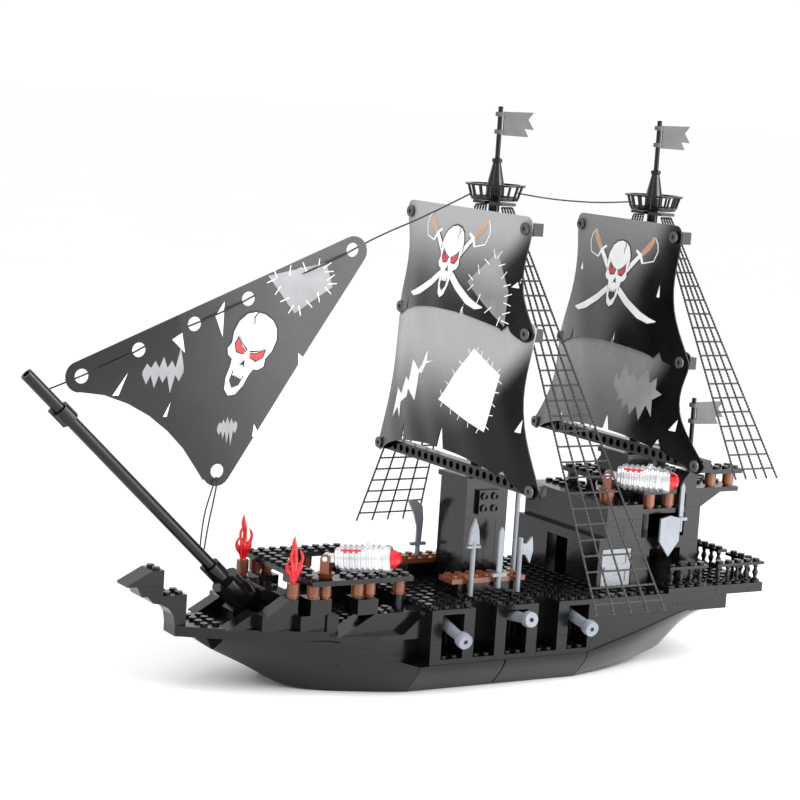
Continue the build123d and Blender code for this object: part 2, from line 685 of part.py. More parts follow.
def cord(name, points):
    # straight runs joined by arcs as wide as the runs allow
    pts = [Vector(*p) * STUD for p in points]
    radii = []
    for a, b, c in zip(pts, pts[1:], pts[2:]):
        turn = math.radians((b - a).get_angle(c - b))
        radii.append(0.45 * min((b - a).length, (c - b).length) / math.tan(turn / 2))
    print(name, "radii mm", [round(r) for r in radii])
    path = FilletPolyline(*pts, radius=radii) if radii else Line(*pts)
    start = Plane(origin=pts[0], z_dir=pts[1] - pts[0])
    tube_solid = sweep(start * Circle(CORD_DIAMETER / 2), path)
    length = sum(e.length for e in path.edges())
    print(name, "length mm", round(length, 1), "volume ratio",
          round(tube_solid.volume / (length * math.pi * CORD_DIAMETER ** 2 / 4), 4))
    return tube_solid


WEAVE = 0.52


def forestay_route():
    # from its tie on the bowsprit, through the jib's edge holes in turn, up to the fore nest
    x, y, z = along_sprit(0.9165, 0.05)
    points = [(x, -0.58, z)]
    side = 1
    for (xa, za), (xb, zb) in zip(JIB_LUFF, JIB_LUFF[1:]):
        points.append(((xa + xb) / 2, side * WEAVE, (za + zb) / 2))
        side = -side
    last_x, last_z = JIB_LUFF[-1]
    points.append((last_x - 2.2, side * WEAVE, last_z + 0.95))
    points.append((-2.0, -side * 0.1, 36.98))
    points.append((-6.1, 0.0, 38.9))
    return points


MAST_STAY = [(-10.54, 0.0, 39.0), (-13.2, 0.0, 38.66), (-16.3, 0.0, 38.5), (-19.4, 0.0, 38.47), (-22.06, 0.0, 38.66)]
JIB_SHEET = [(16.25, 0.36, 10.92), (16.1, 0.5, 12.9), (15.65, 0.42, 14.9), (15.3, 0.14, 16.45)]


def jib_sheet(side):
    return [(x, y * side, z) for x, y, z in JIB_SHEET]


# ---- stern ----

def stern_side_walls():
    low = [(x, z) for x, _, z, *_ in STERN_RIBS[:3]]
    side = [(-16.0, 2.68), low[1], low[2], (-29.2, 5.2), (-29.2, 6.4), (-16.0, 6.4)]
    wall = profile(side, 7, 8)
    lines = [(-29.2, -16.0, 5.2, 5.2), (-29.2, -16.0, 5.8, 5.8), (-18, -18, 5.8, 6.4), (-20.5, -20.5, 5.8, 6.4),
             (-26, -26, 5.2, 5.8), (-24, -24, 5.8, 6.4), (-22, -22, 5.2, 5.8)]
    wall -= seams(8, lines)
    transom = block(-29.2, -28.2, -7, 7, 5.2, 6.4)
    return both_sides(wall) + [transom]


def balcony_floor():
    low = BALCONY - 2 * PLATE
    floor = block(STERN_X, -23, -HALF_BEAM, HALF_BEAM, low, BALCONY)
    covered = [(-28, -22, -6.1, 6.1), (-34, -32, -9, 9), (-34, -22, 7, 8.1), (-34, -22, -8.1, -7)]
    pegs = studs(STERN_X, -23, -8, 8, BALCONY, skip=covered)
    lines = [(STERN_X, -23, low + PLATE, low + PLATE), (-28, -28, low, BALCONY), (-31.5, -31.5, low, low + PLATE)]
    return floor + pegs - seams(8, lines)


RAIL_LOW = 8.75
RAIL_TOP = 9.0


def spindle(x, y):
    points = [(0, 0), (0.42, 0), (0.42, 0.18), (0.2, 0.28), (0.15, 0.45), (0.27, 0.8), (0.13, 1.15),
              (0.2, 1.3), (0.2, 1.55), (0, 1.55)]
    return lathe(points, x, y, BALCONY)


def balustrade_side():
    made = []
    for x0, x1 in ((-27, -23), (-33, -28)):
        rail = block(x0, x1, 7, 8, RAIL_LOW, RAIL_TOP)
        made.append(rail + [spindle(x0 + 0.5 + i, 7.5) for i in range(x1 - x0)]
                    + studs(x0, x1, 7, 8, RAIL_TOP))
    return made


def balustrade():
    made = []
    for rail in balustrade_side():
        made += both_sides(rail)
    for y0, y1 in ((4, 7), (-3, 3), (-7, -4)):
        rail = block(-33, -32, y0, y1, RAIL_LOW, RAIL_TOP)
        posts = [spindle(-32.5, y0 + 0.5 + i) for i in range(y1 - y0)]
        made.append(rail + posts + studs(-33, -32, y0, y1, RAIL_TOP))
    return made


CABIN = (-27.2, -17.0, 6.0)
DOOR = (-20.4, -17.4, 7.2, 10.4)


def cabin_walls():
    aft, fore, half = CABIN
    top = 11.2
    low = BALCONY
    solid = block(aft, fore, -half, half, low, top) - block(aft + 1, fore - 1, -half + 1, half - 1, low - 1, top - 0.4)
    solid += block(-22.99, fore, -half, half, DECK, low) - block(-24, fore - 1, -half + 1, half - 1, DECK - 1, low + 0.1)
    for side in (-1, 1):
        y0, y1 = sorted((side * (half - 1.2), side * (half + 0.5)))
        solid -= block(DOOR[0], DOOR[1], y0, y1, DOOR[2], DOOR[3])
        solid -= block(-25.4, -22.2, y0, y1, low + 0.01, 10.2)
        arch = rod((-23.8, y0, 10.2), (-23.8, y1, 10.2), 0.6)
        solid -= arch
    solid -= block(fore - 1.5, fore + 1, -1.5, 1.5, low + 0.01, 10.4)
    lines = [(aft, -25.6, z, z) for z in (8.4, 9.6, 10.8)] + [(-22.0, -20.6, z, z) for z in (8.4, 9.6, 10.8)]
    for y in (half, -half):
        solid -= seams(y, lines)
    return solid


def cabin_upper_walls():
    aft, fore, half = CABIN
    front = block(-21.2, -17.6, -half, half, 11.2, 14.0) - block(-20.2, -18.6, -half + 1, half - 1, 10, 13.6)
    front += studs(-21.1, -19.1, -6, 6, 14.0)
    back = block(aft, -25.6, -half, half, 11.2, 14.8) - block(aft + 0.5, -26.0, -half + 1, half - 1, 10, 14.4)
    gallery = block(-25.6, -21.2, -half, half, 13.2, 13.6)
    posts = [(-22.3, -21.9, -6, 6), (-24.3, -23.9, -6, 6)]
    gallery += studs(-25.6, -21.6, -6, -5, 13.6, skip=posts) + studs(-25.6, -21.6, 5, 6, 13.6, skip=posts)
    core = block(-23.0, -22.0, -4.5, 4.5, 11.2, 13.2)
    lines = [(-21.2, -17.6, 12.2, 12.2), (-21.2, -17.6, 12.8, 12.8), (-19.4, -19.4, 11.2, 12.2),
             (-20.2, -20.2, 12.2, 12.8), (aft, -25.6, 12.4, 12.4), (aft, -25.6, 13.6, 13.6)]
    for y in (half, -half):
        front -= seams(y, lines)
        back -= seams(y, lines)
    return [front, back, gallery, core]


def cabin_door():
    x0, x1, z0, z1 = DOOR
    leaf = block(x0 + 0.06, x1 - 0.06, 5.6, 5.95, z0 + 0.06, z1 - 0.06)
    panels = [block(x0 + 0.5, x1 - 0.5, 5.88, 6.1, z + 0.3, z + 1.2) for z in (z0 + 0.1, z0 + 1.6)]
    knob = rod((x1 - 0.35, 5.9, z0 + 1.5), (x1 - 0.35, 6.15, z0 + 1.5), 0.14)
    return leaf - panels + knob


def poop_deck():
    low = POOP - PLATE
    deck = block(-31.1, -21.2, -6, 6, low, POOP)
    covered = [(MAIN_X - 2.55, MAIN_X + 2.55, -2.55, 2.55), (-31.1, -27.5, 4.4, 6.1), (-31.1, -27.5, -6.1, -4.4),
               (-26.95, -24.25, 3.8, 6.1), (-26.95, -24.25, -6.1, -3.8), (-31.1, -29.6, -0.9, 0.9),
               (-25, -21, 3, 6.1)]
    deck += studs(-31.1, -21.1, -6, 6, POOP, skip=covered)
    under = profile([(-29.2, low), (-27.21, 13.6), (-27.21, low)], -6, 6)
    wedge = profile([(-24.6, POOP), (-25.8, 16.6), (-26.6, 16.6), (-26.6, POOP)], 4.2, 6)
    rails = []
    for y0, y1 in ((4.4, 6.4), (-6.4, -4.4)):
        rail = block(-31.1, -27.6, y0, y1, POOP + BRICK, POOP + BRICK + PLATE)
        rails.append(rail + studs(-31.1, -28.1, y0, y1, POOP + BRICK + PLATE))
    return [deck, under] + both_sides(wedge) + rails


# ---- small arms and shield ----

def hilt_blade(x, y, z, blade, width, guard):
    made = profile([(x - width, z + 1.2), (x - width, z + 1.2 + blade), (x, z + 1.6 + blade),
                    (x + width, z + 1.2 + blade), (x + width, z + 1.2)], y - 0.1, y + 0.1)
    made += rod((x, y, z), (x, y, z + 1.3), 0.2)
    made += block(x - guard, x + guard, y - 0.18, y + 0.18, z + 0.95, z + 1.2)
    return made


def cutlass(x, y, z):
    points = [(x, z + 1), (x, z + 2.3), (x + 0.35, z + 3.4), (x + 1.0, z + 4.6), (x + 0.3, z + 4.7),
              (x - 0.4, z + 4.1), (x - 0.55, z + 3.0), (x - 0.45, z + 1)]
    made = profile(points, y - 0.1, y + 0.1) + rod((x - 0.2, y, z), (x - 0.2, y, z + 1.1), 0.2)
    return made + block(x - 0.9, x + 0.5, y - 0.18, y + 0.18, z + 0.8, z + 1.05)


def axe(x, y, z):
    made = rod((x, y, z), (x, y, z + 4.4), 0.2)
    points = [(x - 0.1, z + 4.0), (x - 0.5, z + 3.9), (x - 1.05, z + 4.5), (x - 1.2, z + 3.4),
              (x - 0.95, z + 2.3), (x - 0.5, z + 3.0), (x - 0.1, z + 3.1)]
    return made + profile(points, y - 0.12, y + 0.12)


def spear(x, y, z):
    made = rod((x, y, z), (x, y, z + 4.4), 0.2)
    made += profile([(x - 0.5, z + 4.2), (x - 0.35, z + 5.4), (x, z + 6.3), (x + 0.35, z + 5.4),
                     (x + 0.5, z + 4.2)], y - 0.13, y + 0.13)
    return made + block(x - 0.6, x + 0.6, y - 0.15, y + 0.15, z + 3.9, z + 4.1)


def pistol_grip(x, y, z):
    made = rod((x, y, z), (x, y, z + 2.0), 0.2)
    return made + profile([(x - 0.3, z + 1.9), (x + 0.3, z + 1.9), (x + 0.45, z + 3.4), (x - 0.4, z + 3.4)],
                          y - 0.15, y + 0.15)


def deck_weapons():
    rack = BENCH[3] + 0.47
    top = DECK + BRICK + PLATE + 0.22
    made = [spear(-5.1, rack, DECK + 0.3), hilt_blade(-7.7, rack, 7.6, 3.4, 0.22, 0.65), axe(-9.6, rack, 7.2)]
    made += [cutlass(-5.1, -3.4, top), pistol_grip(-8.1, -3.4, top)]
    made.append(rod((-11.2, 2.2, DECK + 0.22), (-11.2, 2.2, 15.4), 0.2))
    made.append(hilt_blade(-25.0, 6.22, 11.6, 2.6, 0.2, 0.6))
    return made + [shield()]


def shield():
    points = [(-22.4, 12.9), (-23.4, 13.15), (-24.4, 12.9), (-24.4, 11.0), (-23.4, 9.7), (-22.4, 11.0)]
    return profile(points, 6.8, 7.0) + rod((-23.4, 6.01, 11.0), (-23.4, 6.9, 11.0), 0.18)


# ---- deck guns ----

# x, y, height of its foot, and height of its hinge above the foot
FORE_GUN = (7.9, 4.7, PLATFORM_LOW + PLATE, 1.55)
AFT_GUN = (-18.4, 4.6, 14.0, 2.35)


def swung(shape, place):
    # turned on its swivel, so that the muzzle looks out over the port side
    swivel = Pos(place[0] * STUD, place[1] * STUD, 0)
    return swivel * Rot(0, 0, -GUN_TURN) * swivel.inverse() * shape


def gun_base(place):
    x, y, z, lift = place
    hinge = z + lift
    hole = rod((x, y - 1, hinge), (x, y + 1, hinge), TRUNNION_RADIUS + RUNNING_GAP)
    made = tube(x, y, z, hinge - 1.15, 0.5, 0.72)
    for side in (-1, 1):
        y0, y1 = sorted((y + side * 0.38, y + side * 0.62))
        made += block(x - 0.36, x + 0.36, y0, y1, hinge - 1.15, hinge)
        made += rod((x, y0, hinge), (x, y1, hinge), 0.36)
    return swung(made - hole, place)


def deck_gun(place, tilt=0.0):
    # barrel along the keel, nose aft, its tail lug between the two cheeks of the base
    x, y, z, lift = place
    axis = z + lift
    tail = x - GUN_TAIL
    nose = tail - GUN_LENGTH
    body = rod((tail, y, axis), (nose, y, axis), GUN_RADIUS)
    for i in range(5):
        cx = tail - 0.9 - i * 0.55
        body += rod((cx, y, axis), (cx - 0.25, y, axis), GUN_RADIUS + 0.08)
    body += Pos(nose * STUD, y * STUD, axis * STUD) * Sphere(0.68 * STUD)
    body += block(tail, x, y - 0.33, y + 0.33, axis - 0.33, axis + 0.33)
    body += rod((x, y - 0.33, axis), (x, y + 0.33, axis), 0.33)
    body += rod((x, y - 0.6, axis), (x, y + 0.6, axis), TRUNNION_RADIUS)
    hinge = Pos(x * STUD, y * STUD, axis * STUD)
    return swung(hinge * Rot(0, tilt, 0) * hinge.inverse() * body, place)


# ---- write every node ----

def collect():
    fore_low, fore_mid, fore_high = FORE_YARDS
    main_low, main_mid, main_high = MAIN_YARDS
    nodes = {
        "hull_bow": hull_bow(),
        "hull_mid_sections": hull_mid_sections(),
        "hull_stern": hull_stern(),
        "stem_bricks": stem_bricks(),
        "figurehead": figurehead(),
        "bow_deck": bow_deck(),
        "bow_bulwarks": bow_bulwarks(),
        "fort_frame": fort_frame(),
        "round_bricks": round_bricks(),
        "flames": flames(),
        "gun_deck_plates": gun_deck_plates(),
        "gun_deck_walls": gun_deck_walls(),
        "gun_port_frames": gun_port_frames(),
        "gun_carriages": gun_carriages(),
        "main_deck": main_deck(),
        "deck_benches": deck_benches(),
        "bench_planks": bench_planks(),
        "fore_mast_base": mast_base(FORE_X, DECK, FORE_BASE_TOP, True),
        "main_mast_base": mast_base(MAIN_X, POOP, MAIN_BASE_TOP, False),
        "mast_poles": mast_poles(),
        "crows_nests": crows_nests(),
        "topmasts": topmasts(),
        "fore_flag": flag(FORE_X, 45.75),
        "main_flag": flag(MAIN_X, 45.35),
        "stern_flag": flag(STERN_POLE_X, 21.75),
        "bowsprit": bowsprit(),
        "bowsprit_socket": bowsprit_socket(),
        "stern_side_walls": stern_side_walls(),
        "balcony_floor": balcony_floor(),
        "balustrade": balustrade(),
        "cabin_walls": cabin_walls(),
        "cabin_upper_walls": cabin_upper_walls(),
        "cabin_door": cabin_door(),
        "poop_deck": poop_deck(),
        "shroud_nets_fore": shroud_nets_fore(),
        "shroud_nets_main": shroud_nets_main(),
        "jib": jib(),
        "forestay": cord("forestay", forestay_route()),
        "mast_stay": cord("mast_stay", MAST_STAY),
        "jib_sheet_port": cord("jib_sheet_port", jib_sheet(1)),
        "jib_sheet_starboard": cord("jib_sheet_starboard", jib_sheet(-1)),
        "fore_yards": yards(FORE_X, FORE_YARDS),
        "fore_topsail": sail(FORE_X, fore_mid, fore_high, TOPSAIL_AHEAD),
        "fore_course": sail(FORE_X, fore_low, fore_mid, COURSE_AHEAD),
        "fore_sail_pins": sail_pins(FORE_X, FORE_YARDS),
        "main_yards": yards(MAIN_X, MAIN_YARDS),
        "main_topsail": sail(MAIN_X, main_mid, main_high, TOPSAIL_AHEAD),
        "main_course": sail(MAIN_X, main_low, main_mid, COURSE_AHEAD),
        "main_sail_pins": sail_pins(MAIN_X, MAIN_YARDS),
        "weapons_and_shield": deck_weapons(),
        "fore_gun_base": gun_base(FORE_GUN),
        "fore_gun": deck_gun(FORE_GUN, FORE_GUN_TILT),
        "aft_gun_base": gun_base(AFT_GUN),
        "aft_gun": deck_gun(AFT_GUN)}
    for number, (centre, rest) in enumerate(zip(PORTS, CANNON_REST), start=1):
        nodes["cannon_port_%d" % number] = cannon(centre, rest, 1)
        nodes["cannon_starboard_%d" % number] = cannon(centre, rest, -1)
    return nodes


def write(nodes):
    move = Pos(-ORIGIN_X * STUD, 0, 0)
    for name, shape in nodes.items():
        pieces = shape if isinstance(shape, list) else [shape]
        solids = [move * solid for piece in pieces for solid in piece.solids()]
        export_step(solids[0] if len(solids) == 1 else Compound(children=solids), "parts/%s.step" % name)


write(collect())
print("origin shift, studs", round(ORIGIN_X, 4))
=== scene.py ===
import bpy
import bmesh
import math
from mathutils import Matrix, Vector


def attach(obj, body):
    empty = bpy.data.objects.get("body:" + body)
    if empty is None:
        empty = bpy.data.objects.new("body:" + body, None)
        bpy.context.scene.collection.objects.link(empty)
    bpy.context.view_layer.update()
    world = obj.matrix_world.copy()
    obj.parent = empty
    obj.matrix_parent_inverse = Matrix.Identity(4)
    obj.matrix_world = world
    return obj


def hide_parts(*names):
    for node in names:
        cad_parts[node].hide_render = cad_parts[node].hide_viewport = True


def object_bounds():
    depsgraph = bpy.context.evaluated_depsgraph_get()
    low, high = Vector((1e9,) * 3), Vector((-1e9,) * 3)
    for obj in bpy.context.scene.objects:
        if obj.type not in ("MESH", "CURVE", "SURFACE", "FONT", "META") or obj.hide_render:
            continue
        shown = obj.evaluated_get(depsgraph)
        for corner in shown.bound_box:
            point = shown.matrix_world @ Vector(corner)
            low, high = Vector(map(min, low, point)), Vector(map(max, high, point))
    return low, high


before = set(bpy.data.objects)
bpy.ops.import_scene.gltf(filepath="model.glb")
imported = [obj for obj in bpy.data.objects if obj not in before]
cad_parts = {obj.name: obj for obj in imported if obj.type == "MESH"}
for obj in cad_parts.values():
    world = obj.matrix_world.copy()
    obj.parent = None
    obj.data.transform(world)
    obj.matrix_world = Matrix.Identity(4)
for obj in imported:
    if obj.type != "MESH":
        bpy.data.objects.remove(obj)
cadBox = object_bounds()
print("frame loaded")

# places are in studs: x from the first gun port's bow face, y to port, z from the hull's flat bottom
stud = 0.008
spritTipX = 31.5317
originX = spritTipX - cadBox[1].x / stud


def at(x, y, z):
    return Vector(((x - originX) * stud, y * stud, z * stud))


# camera, floor and light

cameraSettings = {"place": (92.82, 154.1, 47.2), "right": (-0.8579, 0.5098, 0.0643),
                  "down": (0.0156, 0.151, -0.9884), "forward": (-0.5136, -0.8469, -0.1375), "lens": 102.4}


def makeCamera(s):
    data = bpy.data.cameras.new("camera")
    data.lens = s["lens"]
    data.sensor_width = 36
    data.clip_end = 50
    camera = bpy.data.objects.new("camera", data)
    right, up, back = Vector(s["right"]), -Vector(s["down"]), -Vector(s["forward"])
    turn = Matrix((right, up, back)).transposed().to_4x4()
    camera.matrix_world = Matrix.Translation(at(*s["place"])) @ turn
    bpy.context.scene.collection.objects.link(camera)
    bpy.context.scene.camera = camera


makeCamera(cameraSettings)


def linear(hexText, alpha=1.0):
    parts = [int(hexText[i:i + 2], 16) / 255 for i in (1, 3, 5)]
    return [c / 12.92 if c <= 0.04045 else ((c + 0.055) / 1.055) ** 2.4 for c in parts] + [alpha]


def addNode(tree, kind, values=None, links=None, **settings):
    node = tree.nodes.new(kind)
    for key, value in settings.items():
        setattr(node, key, value)
    for key, value in (values or {}).items():
        node.inputs[key].default_value = value
    for key, socket in (links or {}).items():
        tree.links.new(socket, node.inputs[key])
    return node


def startMaterial(name):
    material = bpy.data.materials.new(name)
    material.use_nodes = True
    tree = material.node_tree
    return material, tree, tree.nodes["Principled BSDF"], addNode(tree, "ShaderNodeTexCoord").outputs["Object"]


def uneven(tree, coords, sizeMm, low, high, detail=3.0):
    # blotches about sizeMm across, as they come and spread between low and high
    noise = addNode(tree, "ShaderNodeTexNoise", {"Scale": 1000 / sizeMm, "Detail": detail}, {"Vector": coords})
    span = {"From Min": 0.3, "From Max": 0.7, "To Min": low, "To Max": high}
    spread = addNode(tree, "ShaderNodeMapRange", span, {"Value": noise.outputs["Fac"]})
    return noise.outputs["Fac"], spread.outputs["Result"]


def dress(tree, shader, sockets):
    # each socket is either a link or one value for the whole surface
    for key, value in sockets.items():
        if isinstance(value, bpy.types.NodeSocket):
            tree.links.new(value, shader.inputs[key])
        else:
            shader.inputs[key].default_value = value


# moulded parts: the tone drifts over a few bricks, the gloss varies with handling, and a faint moulded
# ripple, drawn coarser than the real one so that it shows, bends the reflections
def mouldedPlastic(name, s):
    material, tree, shader, coords = startMaterial(name)
    tone = uneven(tree, coords, s.get("driftMm", 18.18), 0, 1)[1]
    colour = addNode(tree, "ShaderNodeMix", {6: linear(s["hex"]), 7: linear(s["second"])}, {"Factor": tone},
                     data_type="RGBA")
    ripple = uneven(tree, coords, 2.381, 0, 1, detail=4.0)[0]
    bump = addNode(tree, "ShaderNodeBump", {"Strength": 0.12, "Distance": 0.0002}, {"Height": ripple})
    dress(tree, shader, {
        "Base Color": colour.outputs[2], "Normal": bump.outputs["Normal"],
        "Roughness": uneven(tree, coords, s.get("handlingMm", 6.25), *s["roughness"], detail=6.0)[1],
        "Specular IOR Level": s.get("specular", 0.5), "Coat Weight": s.get("coat", 0.0), "Coat Roughness": 0.08,
        "Transmission Weight": s.get("clear", 0.0), "Metallic": s.get("metal", 0.0), "IOR": s.get("ior", 1.5)})
    return material


materials = {
    # glossy near black with soft highlights along the studs
    "blackBrick": mouldedPlastic("injection moulded black ABS", {
        "hex": "#09090a", "second": "#0f0f11", "roughness": (0.1, 0.24), "specular": 0.32, "ior": 1.54}),
    # the same black, smoother, with long reflections down the planks
    "blackHull": mouldedPlastic("large moulded black ABS hull shell", {
        "hex": "#08080a", "second": "#0e0e10", "roughness": (0.08, 0.18), "specular": 0.36, "ior": 1.54,
        "driftMm": 50}),
    # warm brown barrels and planks under a thin gloss
    "brownBrick": mouldedPlastic("injection moulded reddish brown ABS", {
        "hex": "#6b3519", "second": "#7d4224", "roughness": (0.2, 0.34), "coat": 0.3}),
    # cannon barrels and weapons: cool mid grey, half gloss
    "lightGrey": mouldedPlastic("moulded light bluish grey ABS", {
        "hex": "#757b83", "second": "#868c94", "roughness": (0.2, 0.34), "coat": 0.2}),
    # yard pins, just lighter than the film they hold
    "pinGrey": mouldedPlastic("moulded dark stone grey ABS", {
        "hex": "#2b2c2e", "second": "#3b3c3f", "roughness": (0.18, 0.3), "coat": 0.3}),
    # deck guns: a bright plated skin with broken reflections
    "silver": mouldedPlastic("vacuum metallised silver plastic", {
        "hex": "#c9cbce", "second": "#e4e5e8", "roughness": (0.12, 0.3), "metal": 0.75, "handlingMm": 3.333}),
    # flames and gun noses: saturated red that lets a little light through
    "clearRed": mouldedPlastic("tinted clear red polycarbonate", {
        "hex": "#f41a24", "second": "#de0e1a", "roughness": (0.05, 0.14), "clear": 0.2, "ior": 1.58}),
    # the cabin door: milky grey
    "clearGrey": mouldedPlastic("translucent grey polycarbonate", {
        "hex": "#8c9096", "second": "#9aa0a6", "roughness": (0.18, 0.3), "clear": 0.35, "ior": 1.58}),
    # flags: matt mid grey, softer than the bricks
    "flagGrey": mouldedPlastic("flexible grey moulded flag plastic", {
        "hex": "#4b4b4c", "second": "#575758", "roughness": (0.4, 0.55)}),
    # flat opaque inks, duller than the film under them
    "printWhite": mouldedPlastic("white screen print ink", {
        "hex": "#efefee", "second": "#ffffff", "roughness": (0.35, 0.5)}),
    # patches and torn linings: grey that fades from side to side
    "printGrey": mouldedPlastic("light grey screen print ink", {
        "hex": "#77777a", "second": "#a9a9ac", "roughness": (0.35, 0.5), "driftMm": 40}),
    "printRed": mouldedPlastic("red screen print ink", {
        "hex": "#d8222a", "second": "#e23038", "roughness": (0.35, 0.5)}),
    "printBlack": mouldedPlastic("black screen print ink", {
        "hex": "#050505", "second": "#0b0b0c", "roughness": (0.3, 0.45)}),
    "printBrown": mouldedPlastic("tan screen print ink", {
        "hex": "#c9a58b", "second": "#b98f72", "roughness": (0.35, 0.5)})}


# printed film: each vertex carries a level of painted sheen and painted shade, which mixes the dark film
# towards the light sheen colour, under the faint dots of the printing and slow waves in the sheet
def sailFilm(name, s):
    material, tree, shader, coords = startMaterial(name)
    # this attribute holds the painted sheen and shade, mixing the film's dark colour towards the light painted
    # sheen colour
    shade = addNode(tree, "ShaderNodeAttribute", attribute_name="shade")
    colour = addNode(tree, "ShaderNodeMix", {6: linear(s["dark"]), 7: linear(s["light"])},
                     {"Factor": shade.outputs["Fac"]}, data_type="RGBA")
    grain = addNode(tree, "ShaderNodeMix", {"Factor": 1.0},
                    {6: colour.outputs[2], 7: uneven(tree, coords, 1.111, 0.94, 1.06)[1]},
                    data_type="RGBA", blend_type="MULTIPLY")
    bump = addNode(tree, "ShaderNodeBump", {"Strength": 0.1, "Distance": 0.0006},
                   {"Height": uneven(tree, coords, 16.67, 0, 1)[0]})
    dress(tree, shader, {"Base Color": grain.outputs[2], "Normal": bump.outputs["Normal"],
                         "Roughness": uneven(tree, coords, 25, 0.22, 0.34)[1], "Specular IOR Level": 0.3})
    return material


# square sails: satin black film with a painted sheen, light grey at the head, falling to painted shade, black,
# at the foot
materials["sailFilm"] = sailFilm("printed black plastic film with painted sheen", {"dark": "#030304", "light": "#b4b4b6"})
# the jib: almost black all over, its painted sheen only a dark grey
materials["jibFilm"] = sailFilm("printed dark plastic film with painted sheen", {"dark": "#050506", "light": "#4a4a4c"})


# braided or twisted line: fine diagonal strands from a wave across it
def twistedLine(name, s):
    material, tree, shader, coords = startMaterial(name)
    wave = addNode(tree, "ShaderNodeTexWave", {"Scale": 1000 / s["strandMm"], "Distortion": 1.5, "Detail": 2.0},
                   {"Vector": coords}, wave_type="BANDS", bands_direction="DIAGONAL")
    colour = addNode(tree, "ShaderNodeMix", {6: linear(s["dark"]), 7: linear(s["light"])},
                     {"Factor": wave.outputs["Fac"]}, data_type="RGBA")
    bump = addNode(tree, "ShaderNodeBump", {"Strength": 0.7, "Distance": 0.0003},
                   {"Height": wave.outputs["Fac"]})
    dress(tree, shader, {"Base Color": colour.outputs[2], "Normal": bump.outputs["Normal"],
                         "Roughness": uneven(tree, coords, 2, *s["roughness"])[1]})
    return material


# stays and sheets: matt black thread
materials["cord"] = twistedLine("black braided nylon cord", {
    "strandMm": 1.111, "dark": "#101011", "light": "#3a3a3c", "roughness": (0.6, 0.8)})
# nets: black rope pattern with a slight rubbery shine
materials["net"] = twistedLine("moulded flexible black net with a rope pattern", {
    "strandMm": 2.381, "dark": "#111112", "light": "#303032", "roughness": (0.35, 0.5)})


def faceOut(bm):
    bm.normal_update()
    bmesh.ops.recalc_face_normals(bm, faces=bm.faces)


def addObject(name, bm, material, body, replaces=(), smooth=None):
    faceOut(bm)
    mesh = bpy.data.meshes.new(name)
    bm.to_mesh(mesh)
    bm.free()
    mesh.materials.append(materials[material])
    obj = bpy.data.objects.new(name, mesh)
    bpy.context.scene.collection.objects.link(obj)
    if smooth:
        for polygon in mesh.polygons:
            polygon.use_smooth = True
        mesh.set_sharp_from_angle(angle=math.radians(smooth))
    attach(obj, body)
    if replaces:
        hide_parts(*replaces)
    return obj


def makeFloor():
    bm = bmesh.new()
    bmesh.ops.create_circle(bm, cap_ends=True, cap_tris=False, segments=96, radius=30)
    mesh = bpy.data.meshes.new("floor")
    bm.to_mesh(mesh)
    bm.free()
    material, tree, shader, coords = startMaterial("matt white studio sweep")
    tone = uneven(tree, coords, 333.3, 0, 1)[1]
    colour = addNode(tree, "ShaderNodeMix", {6: linear("#fbfbfb"), 7: linear("#fefefe")}, {"Factor": tone},
                     data_type="RGBA")
    dress(tree, shader, {"Base Color": colour.outputs[2], "Roughness": 0.9, "Specular IOR Level": 0.1})
    mesh.materials.append(material)
    floor = bpy.data.objects.new("floor", mesh)
    floor.location.z = -0.0002
    bpy.context.scene.collection.objects.link(floor)


def makeLight(name, s):
    data = bpy.data.lights.new(name, "AREA")
    data.shape = "RECTANGLE"
    data.size, data.size_y = s["size"]
    data.energy = s["power"]
    light = bpy.data.objects.new(name, data)
    place, aim = Vector(s["place"]), Vector(s["aim"])
    light.location = place
    light.rotation_mode = "QUATERNION"
    light.rotation_quaternion = (aim - place).to_track_quat("-Z", "Y")
    light.visible_camera = False
    bpy.context.scene.collection.objects.link(light)


def makeWorld():
    world = bpy.data.worlds.new("studio")
    world.use_nodes = True
    back = world.node_tree.nodes["Background"]
    back.inputs["Color"].default_value = (1, 1, 1, 1)
    back.inputs["Strength"].default_value = 1.02
    bpy.context.scene.world = world
    bpy.context.scene.view_settings.view_transform = "Standard"


lights = {
    "overhead softbox": {"place": (0.3, 0.4, 1.6), "aim": (0, 0, 0.1), "size": (1.2, 1.2), "power": 6},
    "floor pool": {"place": (-0.48, 0.6, 0.5), "aim": (-0.48, 0.601, 0), "size": (0.5, 0.5), "power": 9},
    "port quarter panel": {"place": (-0.75, 0.95, 0.22), "aim": (-0.15, 0.05, 0.1), "size": (0.7, 0.42),
                           "power": 4},
    "bow fill": {"place": (1.4, 0.5, 0.8), "aim": (0, 0, 0.15), "size": (0.5, 0.8), "power": 2.5}}
makeWorld()
makeFloor()
for title, settings in lights.items():
    makeLight(title, settings)
print("camera, floor and light")


# cords

cordSettings = {"diameter": 0.001, "weave": 0.52, "forestay": 0.315, "mastStay": 0.0924, "jibSheet": 0.0451}
spritFoot, spritTip = (13.1, 7.3), (31.2, 24.6)  # the bowsprit's axis, as (x, z)
spritAngle = math.atan2(spritTip[1] - spritFoot[1], spritTip[0] - spritFoot[0])
luffHoles = [(26.87, 24.39), (22.37, 26.33), (17.9, 28.28), (13.46, 30.22), (9.01, 32.12), (4.6, 34.12)]
clewHole = (15.24, 16.89)


def alongSprit(t, above=0.0, y=0.0):
    x = spritFoot[0] + (spritTip[0] - spritFoot[0]) * t - above * math.sin(spritAngle)
    z = spritFoot[1] + (spritTip[1] - spritFoot[1]) * t + above * math.cos(spritAngle)
    return (x, y, z)


